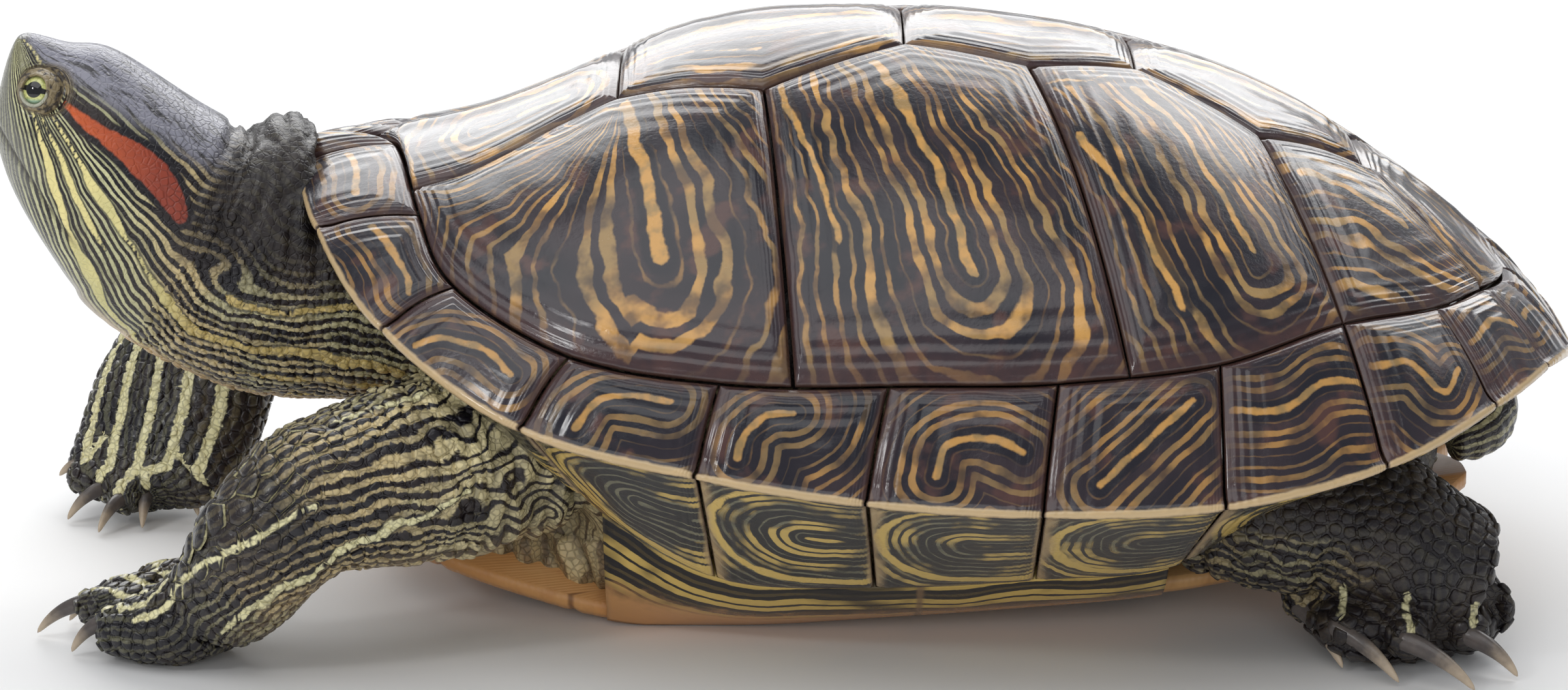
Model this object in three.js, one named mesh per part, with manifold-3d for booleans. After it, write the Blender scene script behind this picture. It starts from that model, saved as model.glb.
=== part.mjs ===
// Red-eared slider, an adult female at life size, resting on its plastron with the head raised.
// Millimetres. The head points along -X, the animal's left side faces -Y, +Z is up, the floor is z = 0.
import * as THREE from "three";
import { mergeVertices } from "three/addons/utils/BufferGeometryUtils.js";
import Module from "manifold-3d";

const wasm = await Module();
wasm.setup();
const { Manifold, Mesh } = wasm;

// ---------------------------------------------------------------- driving dimensions

const GAP = 0.3; // clearance between neighbouring bodies
const EDGE_GAP = 0.45; // clearance where soft bodies pass sharp shell edges
const SAME_FACE = 0.95; // faces at a corner whose normals agree this well count as one
const SCUTE = 3; // thickness of the carapace plates
const ROW_SPAN = 11; // widest spacing of cross rows on the vertebral plates
const PLASTRON = 4; // thickness of the plastron
const DOME_POWER = 2.1; // how flat the carapace is across its top
const DOME_FULLNESS = 0.86; // how steeply it falls to the marginals

// Top line of the carapace along the midline: [x, z].
const RIDGE = [
  [-126, 84], [-112, 87.5], [-91, 91.5], [-74, 97.8], [-61, 104], [-46, 109], [-30, 111.5], [-8, 112],
  [22, 109], [47, 103], [69, 94], [86, 83.5], [102, 71.5], [114, 60], [122, 51.5], [125.5, 45],
];

// Ends of the seams between successive marginals, from the nuchal to the tail notch.
// rim: outer edge [x, y, z]; inner: meeting line with the costals [x, y]; under: inner edge below [x, y, z].
const SEAMS = [
  { rim: [-125.5, 0, 86.3], inner: [-111.5, 0], under: [-111, 0, 78] },
  { rim: [-124, 8, 84.6], inner: [-105.6, 8], under: [-110.5, 8, 76.8] },
  { rim: [-118.5, 33, 77.2], inner: [-99.5, 37], under: [-105, 29, 68] },
  { rim: [-104.5, 57, 63.8], inner: [-92, 55], under: [-93, 47, 52] },
  { rim: [-78, 78, 50.5], inner: [-70, 72.5], under: [-68, 62, 31] },
  { rim: [-46, 88, 44.5], inner: [-42, 80.7], under: [-43, 65, 16] },
  { rim: [-15, 92, 40.5], inner: [-11, 82.5], under: [-13, 65, 14] },
  { rim: [17, 94, 39], inner: [20, 82.5], under: [17, 65, 15.5] },
  { rim: [50, 92.5, 40], inner: [50, 78], under: [45, 66, 19.5] },
  { rim: [80, 83, 45], inner: [74, 65.5], under: [66, 66, 38.5] },
  { rim: [102, 65, 51.5], inner: [93, 51], under: [89, 52, 43.5] },
  { rim: [114.5, 44, 53.5], inner: [104, 33.5], under: [102, 35, 46] },
  { rim: [122, 22, 50.5], inner: [110, 17], under: [108.5, 18, 44] },
  { rim: [125.5, 0, 45], inner: [112.5, 0], under: [111.5, 0, 40] },
];

// Line between vertebrals and costals: [x, y], from the nuchal end to the tail end.
const VERTEBRAL_EDGE = [
  [-101, 29], [-91, 28], [-73, 22.5], [-62.5, 22], [-34, 32], [-7, 17.5], [17, 22.5], [38, 14.5], [61, 27],
  [83, 13], [104, 33.5],
];
const VERTEBRAL_SEAMS = [-110.9, -62.5, -7, 38, 83, 111.9]; // x of the cross seams on the midline
const COSTAL_CORNERS = [0, 4, 6, 8, 10]; // rows of VERTEBRAL_EDGE where the costal seams start
const COSTAL_ENDS = [1.75, 5.45, 7.43, 9, 11]; // where along SEAMS each costal seam reaches the marginals

// Plastron: [x, half width, z of its underside].
const PLASTRON_LINE = [
  [-114, 9, 15], [-110, 22, 13.5], [-99, 35, 9.8], [-80, 40, 4.2], [-64, 43, 0.8], [-56, 43.5, 0], [-40, 43.5, 0],
  [-10, 43.5, 1.6], [22, 43.5, 4], [45, 43, 6.2], [58, 41, 8], [78, 37, 12], [94, 29, 16], [104, 16, 19],
];
const BRIDGE_FROM = -64;
const BRIDGE_TO = 42;
const REST_X = -48; // the flat of the plastron that touches the floor, where the origin of the row is

// ---------------------------------------------------------------- small maths

const vec = (p) => new THREE.Vector3(p[0], p[1], p[2]);
const mix = (a, b, t) => a + (b - a) * t;
const mixPoint = (a, b, t) => a.map((value, k) => mix(value, b[k], t));

// Smooth table lookup: monotone cubic through rows [x, value, ...], column k.
function along(table, x, k = 1) {
  const last = table.length - 1;
  if (x <= table[0][0]) return table[0][k];
  if (x >= table[last][0]) return table[last][k];
  let i = 0;
  while (x > table[i + 1][0]) i += 1;
  const slope = (j) => (table[j + 1][k] - table[j][k]) / (table[j + 1][0] - table[j][0]);
  const tangent = (j) => {
    if (j === 0) return slope(0);
    if (j === last) return slope(last - 1);
    const before = slope(j - 1);
    const after = slope(j);
    return before * after <= 0 ? 0 : (2 * before * after) / (before + after);
  };
  const width = table[i + 1][0] - table[i][0];
  const t = (x - table[i][0]) / width;
  const a = table[i][k];
  const b = table[i + 1][k];
  const ta = tangent(i) * width;
  const tb = tangent(i + 1) * width;
  return (
    a * (2 * t ** 3 - 3 * t ** 2 + 1) + ta * (t ** 3 - 2 * t ** 2 + t) +
    b * (3 * t ** 2 - 2 * t ** 3) + tb * (t ** 3 - t ** 2)
  );
}

// Point on a smooth curve through control points, at fractional index u.
function through(points, u) {
  const last = points.length - 1;
  const i = Math.min(Math.floor(u), last - 1);
  const t = u - i;
  const p = [points[Math.max(i - 1, 0)], points[i], points[i + 1], points[Math.min(i + 2, last)]];
  return p[1].map((value, k) => {
    const [a, b, c, d] = p.map((point) => point[k]);
    return 0.5 * (2 * b + (c - a) * t + (2 * a - 5 * b + 4 * c - d) * t * t + (3 * b - a - 3 * c + d) * t ** 3);
  });
}

// ---------------------------------------------------------------- the carapace surface

const RIM_POINTS = SEAMS.map((seam) => seam.rim);
const RIM_LINE = [];
for (let u = 0; u <= SEAMS.length - 1; u += 0.125) RIM_LINE.push(through(RIM_POINTS, u));

// Half width and height of the rim at a given x.
function rimAt(x) {
  let i = 0;
  while (i < RIM_LINE.length - 2 && RIM_LINE[i + 1][0] < x) i += 1;
  const a = RIM_LINE[i];
  const b = RIM_LINE[i + 1];
  const t = Math.min(Math.max((x - a[0]) / (b[0] - a[0]), 0), 1);
  return { half: mix(a[1], b[1], t), z: mix(a[2], b[2], t) };
}

// Height of the carapace dome over the plan point (x, y).
function domeHeight(x, y) {
  const rim = rimAt(x);
  const across = Math.min(Math.abs(y) / Math.max(rim.half, 1), 1);
  const fall = (1 - across ** DOME_POWER) ** DOME_FULLNESS;
  return rim.z + (along(RIDGE, x) - rim.z) * fall;
}

function domePoint(x, y, depth = 0) {
  const step = 0.5;
  const dx = (domeHeight(x + step, y) - domeHeight(x - step, y)) / (2 * step);
  const dy = (domeHeight(x, y + step) - domeHeight(x, y - step)) / (2 * step);
  const size = Math.hypot(dx, dy, 1);
  return [x + (dx / size) * depth, y + (dy / size) * depth, domeHeight(x, y) - depth / size];
}

// ---------------------------------------------------------------- solids

function solid(points, triangles) {
  const made = new Manifold(
    new Mesh({ numProp: 3, vertProperties: new Float32Array(points.flat()), triVerts: new Uint32Array(triangles.flat()) }),
  );
  return made;
}

// Closed body between an outer grid of points and an inner grid of the same size.
function slab(outer, inner) {
  const rows = outer.length;
  const columns = outer[0].length;
  const points = [...outer.flat(), ...inner.flat()];
  const triangles = [];
  const quad = (a, b, c, d) => triangles.push([a, b, c], [a, c, d]);
  const at = (i, j) => i * columns + j;
  const under = (i, j) => rows * columns + at(i, j);
  for (let i = 0; i < rows - 1; i += 1) {
    for (let j = 0; j < columns - 1; j += 1) {
      quad(at(i, j), at(i + 1, j), at(i + 1, j + 1), at(i, j + 1));
      quad(under(i, j), under(i, j + 1), under(i + 1, j + 1), under(i + 1, j));
    }
    quad(at(i, 0), under(i, 0), under(i + 1, 0), at(i + 1, 0));
    quad(at(i, columns - 1), at(i + 1, columns - 1), under(i + 1, columns - 1), under(i, columns - 1));
  }
  for (let j = 0; j < columns - 1; j += 1) {
    quad(at(0, j), at(0, j + 1), under(0, j + 1), under(0, j));
    quad(at(rows - 1, j), under(rows - 1, j), under(rows - 1, j + 1), at(rows - 1, j + 1));
  }
  const made = solid(points, triangles);
  return made.volume() > 0 ? made : solid(points, triangles.map(([a, b, c]) => [a, c, b]));
}

// Closed body through rings of equal length, with flat end caps.
function skinRings(rings) {
  const count = rings[0].length;
  const points = rings.flat();
  const triangles = [];
  for (let i = 0; i < rings.length - 1; i += 1) {
    for (let j = 0; j < count; j += 1) {
      const next = (j + 1) % count;
      const a = i * count + j;
      const b = i * count + next;
      triangles.push([a, b, b + count], [a, b + count, a + count]);
    }
  }
  for (const [ring, flip] of [[0, true], [rings.length - 1, false]]) {
    const centre = points.length;
    const members = rings[ring];
    points.push([0, 1, 2].map((k) => members.reduce((sum, point) => sum + point[k], 0) / count));
    for (let j = 0; j < count; j += 1) {
      const pair = [ring * count + j, ring * count + ((j + 1) % count)];
      triangles.push(flip ? [centre, pair[1], pair[0]] : [centre, pair[0], pair[1]]);
    }
  }
  const made = solid(points, triangles);
  return made.volume() > 0 ? made : solid(points, triangles.map(([a, b, c]) => [a, c, b]));
}

// Soft body along a path. A station is [x, y, z, half width, half height, lower half height].
// Width lies across the path and level; height lies across the path and upright.
function limb(stations, { around = 10, perSpan = 2, square = 2.2, side = null } = {}) {
  const rings = [];
  const last = stations.length - 1;
  const path = (u) => through(stations, Math.min(Math.max(u, 0), last));
  for (let step = 0; step <= last * perSpan; step += 1) {
    const u = step / perSpan;
    const here = path(u);
    const heading = vec(path(u + 0.1)).sub(vec(path(u - 0.1))).normalize();
    const level = side ? vec(side) : new THREE.Vector3(0, 0, 1).cross(heading);
    level.addScaledVector(heading, -level.dot(heading)).normalize();
    const upright = heading.clone().cross(level);
    if (upright.z < 0) upright.negate();
    const ring = [];
    for (let j = 0; j < around; j += 1) {
      const angle = (2 * Math.PI * j) / around;
      const round = (value) => Math.sign(value) * Math.abs(value) ** (2 / square);
      const up = round(Math.sin(angle)) * (Math.sin(angle) < 0 && here[5] ? here[5] : here[4]);
      const point = vec(here).addScaledVector(level, round(Math.cos(angle)) * here[3]).addScaledVector(upright, up);
      ring.push(point.toArray());
    }
    rings.push(ring);
  }
  return skinRings(rings);
}

function ball(centre, radius, detail) {
  const geometry = new THREE.IcosahedronGeometry(radius, detail);
  geometry.translate(...centre);
  return fromGeometry(geometry);
}

function fromGeometry(geometry) {
  geometry.deleteAttribute("normal");
  geometry.deleteAttribute("uv");
  const merged = mergeVertices(geometry, 1e-4);
  return new Manifold(
    new Mesh({
      numProp: 3,
      vertProperties: merged.attributes.position.array,
      triVerts: new Uint32Array(merged.index.array),
    }),
  );
}

// The same body with every face moved outwards by at least `amount`.
function swollen(body, amount) {
  const mesh = body.getMesh();
  const corner = (i) => new THREE.Vector3().fromArray(mesh.vertProperties, 3 * i);
  const facing = Array.from({ length: mesh.vertProperties.length / 3 }, () => []);
  for (let i = 0; i < mesh.triVerts.length; i += 3) {
    const triangle = Array.from(mesh.triVerts.slice(i, i + 3));
    const [a, b, c] = triangle.map(corner);
    const normal = b.sub(a).cross(c.sub(a)).normalize();
    for (const index of triangle) {
      if (facing[index].every((known) => known.dot(normal) < SAME_FACE)) facing[index].push(normal);
    }
  }
  const moved = facing.map((normals, i) => {
    const away = normals.reduce((sum, normal) => sum.add(normal), new THREE.Vector3());
    const least = Math.max(Math.min(...normals.map((normal) => away.dot(normal))), 0.4);
    return corner(i).addScaledVector(away, amount / least).toArray();
  });
  return new Manifold(
    new Mesh({ numProp: 3, vertProperties: new Float32Array(moved.flat()), triVerts: new Uint32Array(mesh.triVerts) }),
  );
}

// What is left of a body after cutting it clear of its neighbours.
function cutBy(body, others, amount = GAP) {
  return others.reduce((rest, other) => rest.subtract(swollen(other, amount)), body);
}

// The largest connected piece: what a cut leaves of a body, without slivers.
function main(body) {
  return body.decompose().sort((a, b) => b.volume() - a.volume())[0];
}

const mirrored = (body) => body.mirror([0, 1, 0]);

// ---------------------------------------------------------------- shell plates

// Half width of the vertebral row at x (straight runs between its corners).
function vertebralHalf(x) {
  const line = VERTEBRAL_EDGE;
  if (x <= line[0][0]) return line[0][1];
  for (let i = 0; i < line.length - 1; i += 1) {
    if (x <= line[i + 1][0]) return mix(line[i][1], line[i + 1][1], (x - line[i][0]) / (line[i + 1][0] - line[i][0]));
  }
  return line[line.length - 1][1];
}

// Plan point of the costal and marginal meeting line at x, on the left (-Y) side.
const INNER_POINTS = SEAMS.map((seam) => seam.inner);
const INNER_LINE = [];
for (let u = 0; u <= SEAMS.length - 1; u += 0.125) INNER_LINE.push(through(INNER_POINTS, u));
function innerHalf(x) {
  let i = 0;
  while (i < INNER_LINE.length - 2 && INNER_LINE[i + 1][0] < x) i += 1;
  const [a, b] = [INNER_LINE[i], INNER_LINE[i + 1]];
  return mix(a[1], b[1], Math.min(Math.max((x - a[0]) / (b[0] - a[0]), 0), 1));
}

// Cross rows of a vertebral plate: one at every corner of its outline, and no two far apart.
function vertebralRows(from, to) {
  const meeting = INNER_LINE.filter((point, i) => i % 4 === 0);
  const corners = [...VERTEBRAL_EDGE, ...meeting].map((corner) => corner[0]);
  const inside = corners.filter((x) => x > from + 1.5 && x < to - 1.5).sort((a, b) => a - b);
  const rows = [from];
  for (const x of [...inside, to]) {
    const start = rows[rows.length - 1];
    if (x - start < 1.5) continue;
    const spans = Math.ceil((x - start) / ROW_SPAN);
    for (let i = 1; i <= spans; i += 1) rows.push(mix(start, x, i / spans));
  }
  return rows;
}

function vertebral(index) {
  const from = VERTEBRAL_SEAMS[index] + GAP / 2;
  const to = VERTEBRAL_SEAMS[index + 1] - GAP / 2;
  const first = index === 0;
  const last = index === VERTEBRAL_SEAMS.length - 2;
  const outer = [];
  const inner = [];
  for (const x of vertebralRows(from, to)) {
    const free = first || last ? Math.max(innerHalf(x) - 3 * GAP, 2 * GAP) : 99;
    const half = Math.min(vertebralHalf(x) - GAP / 2, free);
    const places = [-1, -0.5, 0, 0.5, 1].map((t) => t * half);
    outer.push(places.map((y) => domePoint(x, y)));
    inner.push(places.map((y) => domePoint(x, y, SCUTE)));
  }
  return slab(outer, inner);
}

// Costal plate k, left side: from the vertebral row out to the marginals.
function costal(k) {
  const medial = VERTEBRAL_EDGE.slice(COSTAL_CORNERS[k], COSTAL_CORNERS[k + 1] + 1);
  const reach = (points, t) => {
    const spans = points.slice(1).map((p, i) => p[0] - points[i][0]);
    let x = mix(points[0][0], points[points.length - 1][0], t);
    let i = 0;
    while (i < spans.length - 1 && x > points[i + 1][0]) i += 1;
    return [x, mix(points[i][1], points[i + 1][1], (x - points[i][0]) / spans[i])];
  };
  const rows = 6;
  const columns = 5;
  const outer = [];
  const inner = [];
  for (let i = 0; i <= rows; i += 1) {
    const v = mix(0.004, 0.996, i / rows);
    const top = reach(medial, v);
    const foot = through(INNER_POINTS, mix(COSTAL_ENDS[k], COSTAL_ENDS[k + 1], v));
    const length = Math.hypot(foot[0] - top[0], foot[1] - top[1]);
    const trim = Math.min(GAP / length, 0.4);
    outer.push([]);
    inner.push([]);
    for (let j = 0; j <= columns; j += 1) {
      const plan = mixPoint(top, foot, mix(trim, 1 - trim, j / columns));
      outer[i].push(domePoint(plan[0], -plan[1]));
      inner[i].push(domePoint(plan[0], -plan[1], SCUTE));
    }
  }
  return slab(outer, inner);
}

// Cross section of the marginal ring at fractional seam index u, left side.
function marginalRing(u, grow = 0) {
  const rim = through(SEAMS.map((seam) => seam.rim), u);
  const plan = through(SEAMS.map((seam) => seam.inner), u);
  const under = through(SEAMS.map((seam) => seam.under), u);
  const top = domePoint(plan[0], plan[1]);
  const deep = domePoint(plan[0], plan[1], SCUTE);
  const crest = mixPoint(top, rim, 0.55);
  const inside = mixPoint(top, under, 0.98);
  const lip = [rim[0], rim[1], rim[2] - 2.2];
  const belly = mixPoint(lip, under, 0.5);
  const back = mixPoint(deep, under, 0.5);
  back[2] = Math.max(back[2], under[2] + 3);
  const section = [top, crest, rim, lip, belly, under, [inside[0], inside[1], under[2] + 3], deep];
  section[1][2] += 1.2 + grow;
  return section.map((point) => [point[0], -point[1], point[2]]);
}

function marginals() {
  const rings = [];
  const from = 1.012;
  const to = SEAMS.length - 1 - 0.006;
  const steps = 24;
  for (let i = 0; i <= steps; i += 1) rings.push(marginalRing(mix(from, to, i / steps)));
  return skinRings(rings);
}

function nuchal() {
  const rings = [];
  for (let u = -1; u <= 1; u += 0.25) {
    const ring = marginalRing(Math.abs(u) * 0.988);
    rings.push(ring.map((point) => [point[0], u > 0 ? -point[1] : point[1], point[2]]));
  }
  return skinRings(rings);
}

// ---------------------------------------------------------------- underside

const UNDER_LINE = [];
for (let u = 0; u <= SEAMS.length - 1; u += 0.125) UNDER_LINE.push(through(SEAMS.map((seam) => seam.under), u));

// Inner edge of the marginals' underside at x: half width and height.
function underAt(x) {
  let i = 0;
  while (i < UNDER_LINE.length - 2 && UNDER_LINE[i + 1][0] < x) i += 1;
  const [a, b] = [UNDER_LINE[i], UNDER_LINE[i + 1]];
  const t = Math.min(Math.max((x - a[0]) / (b[0] - a[0]), 0), 1);
  return { half: mix(a[1], b[1], t), z: mix(a[2], b[2], t) };
}

function plastron() {
  const lower = [];
  const upper = [];
  for (const [x, half, z] of PLASTRON_LINE) {
    const spread = [-1, -0.5, 0, 0.5, 1];
    lower.push(spread.map((side) => [x, side * half, z]));
    upper.push(spread.map((side) => [x, side * half, z + PLASTRON]));
  }
  return slab(lower, upper);
}

function bridge() {
  const outer = [];
  const inner = [];
  for (let i = 0; i <= 10; i += 1) {
    const x = mix(BRIDGE_FROM, BRIDGE_TO, i / 10);
    const under = underAt(x);
    const half = along(PLASTRON_LINE, x, 1) + 0.5;
    const z = along(PLASTRON_LINE, x, 2);
    outer.push([0, 0.35, 0.7, 1].map((t) => {
      const bow = 1.5 * Math.sin(Math.PI * t);
      return [x, -mix(under.half - 0.6, half, t) - bow * 0.7, mix(under.z + 0.4, z + 0.2, t) - bow * 0.7];
    }));
    inner.push([0, 0.35, 0.7, 1].map((t) => [
      x, -mix(under.half - 3.4, half, t), mix(under.z + 3.2, z + PLASTRON, t),
    ]));
  }
  return slab(outer, inner);
}

// ---------------------------------------------------------------- trunk

const TRUNK_FROM = -97;
const TRUNK_TO = 98;
const CORE_GAP = 1; // clearance under the broad faces of the carapace plates
const POCKET = 11; // how far the skin sinks between carapace and plastron, front and rear

function trunkRing(x) {
  const reach = innerHalf(x) - 0.4;
  const under = underAt(x);
  const half = along(PLASTRON_LINE, x, 1);
  const floor = along(PLASTRON_LINE, x, 2) + PLASTRON + 0.5;
  const open = Math.min(Math.max((BRIDGE_FROM + 4 - x) / 10, (x - BRIDGE_TO + 4) / 10, 0), 1);
  const side = [0.33, 0.62, 0.85, 1].map((t) => domePoint(x, reach * t, SCUTE + CORE_GAP));
  const edge = side[side.length - 1];
  edge[1] -= 0.6;
  const wall = [x, under.half - 1.4, under.z + 7];
  const sill = [x, under.half - 4.6, under.z + 3.8];
  const low = [x, half - 1.4, floor + 0.1];
  if (wall[2] > edge[2] - 1) wall[2] = edge[2] - 1;
  wall[1] = Math.min(wall[1], edge[1]);
  const pocket = mixPoint(sill, low, 0.5);
  pocket[1] -= POCKET * open;
  low[1] -= POCKET * 0.5 * open;
  const left = [...side, wall, sill, pocket, low];
  const top = domePoint(x, 0, SCUTE + CORE_GAP);
  const bottom = [x, 0, floor];
  const mirror = left.map((point) => [point[0], -point[1], point[2]]).reverse();
  return [top, ...left, bottom, ...mirror];
}

function trunk() {
  const rings = [];
  for (let i = 0; i <= 13; i += 1) rings.push(trunkRing(mix(TRUNK_FROM, TRUNK_TO, i / 13)));
  return skinRings(rings);
}

// ---------------------------------------------------------------- head

// The head has its own frame: s back from the snout along the head, l to the left, h up.
const HEAD = { at: [-178.8, -9, 98.6], pitch: 38, yaw: 7 };
const EYE = { s: 3.7, l: 7.7, h: 3.4, radius: 4.2 };
const ORBIT = 4.85; // radius of the bulge that holds each eye
const MOUTH = { s: -5, h: -5.4, slope: -0.34, end: 27 };

const radians = (degrees) => (degrees * Math.PI) / 180;
const headBack = new THREE.Vector3(Math.cos(radians(HEAD.pitch)), 0, -Math.sin(radians(HEAD.pitch)));
const headUp = new THREE.Vector3(Math.sin(radians(HEAD.pitch)), 0, Math.cos(radians(HEAD.pitch)));
const headLeft = new THREE.Vector3(0, -1, 0);
for (const axis of [headBack, headUp, headLeft]) axis.applyAxisAngle(new THREE.Vector3(0, 0, 1), radians(HEAD.yaw));

function onHead(s, l, h) {
  const point = vec(HEAD.at).addScaledVector(headBack, s).addScaledVector(headLeft, l).addScaledVector(headUp, h);
  return point.toArray();
}

// [s, half width, widest level, top, bottom] of the head's cross sections.
const HEAD_SECTIONS = [
  [-5.6, 1.8, 8, 9, 7], [-4.7, 4, 6.8, 10, 3.6], [-2.8, 6, 4.8, 10.9, -1.3], [-0.2, 8, 2.4, 11.9, -6.8],
  [3.5, 10.2, 0.5, 13.4, -11], [8, 12.6, -1, 16.4, -14.6], [13, 15, -2, 17.6, -17.6], [19, 17.2, -3, 18, -20.4],
  [25, 18.6, -3.5, 18.2, -22.8], [31, 19.4, -3.5, 18.5, -25], [37, 19.8, -3, 19.2, -26.6],
];

function headLoft(sections) {
  const around = 16;
  const rings = sections.map(([s, half, level, top, bottom]) => {
    const ring = [];
    for (let j = 0; j < around; j += 1) {
      const angle = (2 * Math.PI * (j + 0.5)) / around;
      const round = (value) => Math.sign(value) * Math.abs(value) ** 0.9;
      const rise = Math.sin(angle) > 0 ? top - level : level - bottom;
      ring.push(onHead(s, round(Math.cos(angle)) * half, level + round(Math.sin(angle)) * rise));
    }
    return ring;
  });
  return skinRings(rings);
}

// Wedge below the mouth line, from the beak to the corner of the mouth.
function jawRegion(grow) {
  const line = (s) => MOUTH.h + MOUTH.slope * (s - MOUTH.s) + grow;
  const upper = [];
  const lower = [];
  for (const s of [-12, 0, 12, MOUTH.end + grow]) {
    upper.push([-30, 0, 30].map((l) => onHead(s, l, line(s))));
    lower.push([-30, 0, 30].map((l) => onHead(s, l, -45)));
  }
  return slab(upper, lower);
}

function eye(side) {
  return ball(onHead(EYE.s, side * EYE.l, EYE.h), EYE.radius, 2);
}

// ---------------------------------------------------------------- limbs, neck and tail

// Stations are [x, y, z, half width, half height, lower half height].
const NECK = [
  [-88, 1, 58, 24, 22, 22], [-103, 0, 59, 24.5, 22, 23], [-117, -1, 60, 24.5, 21, 25],
  [-132, -3, 62.8, 23.5, 28.8, 26], [...onHead(44, 0, -3), 20.6, 22.6, 24.6], [...onHead(34, 0, -3), 19.4, 21, 23.2],
];
const ARM_LEFT = {
  upper: [[-76, -42, 37, 15, 16], [-90, -52, 36, 16, 17], [-104, -61, 35, 15.5, 16.1], [-116, -67, 33.6, 14, 14],
    [-122.5, -69, 31, 12.4, 12.6], [-126, -70, 28.4, 7, 7.2]],
  lower: [[-118, -67.2, 32.8, 13.8, 13.4], [-125.5, -69, 26, 13, 12.6], [-130.8, -67.5, 18.2, 11.6, 11.4],
    [-136.2, -64, 11.4, 11, 9.4]],
  palm: [[-138, -63.5, 11, 11, 9], [-143, -61, 7.4, 12.5, 7.8], [-150, -57.5, 5.9, 12.5, 6.2],
    [-156, -55.5, 5.2, 11, 4.4]],
  toes: [
    [[-139, -54, 11], [-146, -44, 9], [-151, -36, 0.9]],
    [[-143, -52, 12.5], [-152, -45, 10], [-160, -38, 0.9]],
    [[-148, -55, 10.6], [-159.5, -47.5, 8], [-167.5, -42, 0.9]],
    [[-150, -58, 9], [-163.5, -52, 7], [-172.6, -49.5, 0.9]],
    [[-146, -62, 8], [-158.5, -61.5, 6.2], [-164.5, -61, 0.9]],
  ],
};
const ARM_RIGHT = {
  upper: [[-76, 42, 37, 15, 16], [-92, 53, 38.5, 16, 16], [-110, 60, 42, 15, 15], [-128, 62, 46, 14.5, 14.5],
    [-137, 61, 47, 13, 13], [-141, 60.5, 47, 7, 7]],
  lower: [[-131, 62, 47.5, 14, 14], [-141.5, 59, 43, 17, 13], [-149.5, 53, 33, 19, 11.5], [-154.5, 46.5, 23.5, 20, 10.5],
    [-157.5, 40, 15, 19.5, 9]],
  palm: [[-158, 39.5, 14.6, 19.5, 8.8], [-160, 35, 10.5, 19, 7], [-161.5, 31, 7.5, 17.5, 5.4],
    [-162.5, 27.5, 5.6, 15, 4.2]],
  toes: [
    [[-164, 37, 10], [-172.5, 36.5, 9.5], [-180, 35.5, 7]],
    [[-164, 32, 7], [-170.5, 28.5, 5.8], [-177, 24.5, 0.9]],
    [[-163, 30, 6.5], [-166, 23, 5], [-169.5, 15.5, 0.9]],
    [[-161, 31, 6], [-161, 26, 4.8], [-161, 18.5, 0.9]],
    [[-157, 35, 6.4], [-153.5, 33.5, 4.8], [-150.5, 27, 0.9]],
  ],
};
const LEG_LEFT = {
  upper: [[40, -30, 33, 15, 13], [48, -42, 31, 17, 14], [60, -52, 27.5, 16.5, 15], [73, -56, 24, 15, 13],
    [79, -57, 23.6, 7, 7]],
  lower: [[67.8, -51.6, 26.8, 15.4, 14.8], [80, -55.5, 24.5, 16, 14.5], [91, -56, 18.5, 16.5, 13],
    [100, -55.5, 15, 14, 11.5]],
  palm: [[95, -43.5, 9, 8, 7], [93, -47, 10, 14, 9], [88.5, -55, 9.5, 20, 9], [88, -62, 7.5, 19, 7],
    [90, -68, 5.5, 14.5, 4.8]],
  toes: [
    [[70, -52, 13], [68, -59.5, 8.4], [74.5, -70.5, 0.9]],
    [[77, -57, 11], [74, -69.5, 7.4], [84, -79, 0.9]],
    [[85, -61, 10], [86.3, -75.5, 6.9], [97.5, -83.5, 0.9]],
    [[97, -60, 8.6], [98.7, -69.5, 5.9], [106.5, -75.6, 0.9]],
  ],
};
const TAIL = [
  [86, 7, 34, 9.5, 9], [97, 6, 35, 9, 8.6], [105, 2, 35.3, 8.2, 8], [108.8, -6, 33.4, 6.6, 6.6], [106, -13.5, 30, 4.8, 4.8],
  [100.5, -16.5, 28.4, 3, 3],
];
const TOE_RADIUS = { front: 3.7, hind: 4.3 };
const CLAW_RADIUS = { front: 1.7, hind: 2.1 };
const CLAW_ARCH = 1.3; // how far a claw bows up at its middle

// The right hind leg mirrors the left one and stands a little further forward.
const STEP = -7;
const across = ([x, y, z, ...sizes]) => [x + STEP, -y, z, ...sizes];
const LEG_RIGHT = {
  upper: [[38, 30, 33, 15, 13], [45, 42, 31, 17, 14], [53, 52, 27.5, 16.5, 15], [66, 56, 24, 15, 13],
    [72, 57, 23.6, 7, 7]],
  lower: [[60.8, 51.6, 26.8, 15.4, 14.8], ...LEG_LEFT.lower.slice(1).map(across)],
  palm: LEG_LEFT.palm.map(across),
  toes: LEG_LEFT.toes.map((points) => points.map(across)),
};

function toe([base, end], radius) {
  return limb(
    [
      [...base, radius * 1.1, radius], [...mixPoint(base, end, 0.55), radius, radius * 0.95],
      [...end, radius * 0.74, radius * 0.74],
    ],
    { around: 6, perSpan: 1 },
  );
}

function claw([, end, tip], radius) {
  const base = mixPoint(end, tip, GAP / vec(end).distanceTo(vec(tip)));
  const arch = mixPoint(end, tip, 0.5);
  arch[2] += CLAW_ARCH;
  return limb(
    [[...base, radius, radius], [...arch, radius * 0.78, radius * 0.85], [...tip, 0.3, 0.35]],
    { around: 6, perSpan: 1 },
  );
}

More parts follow.
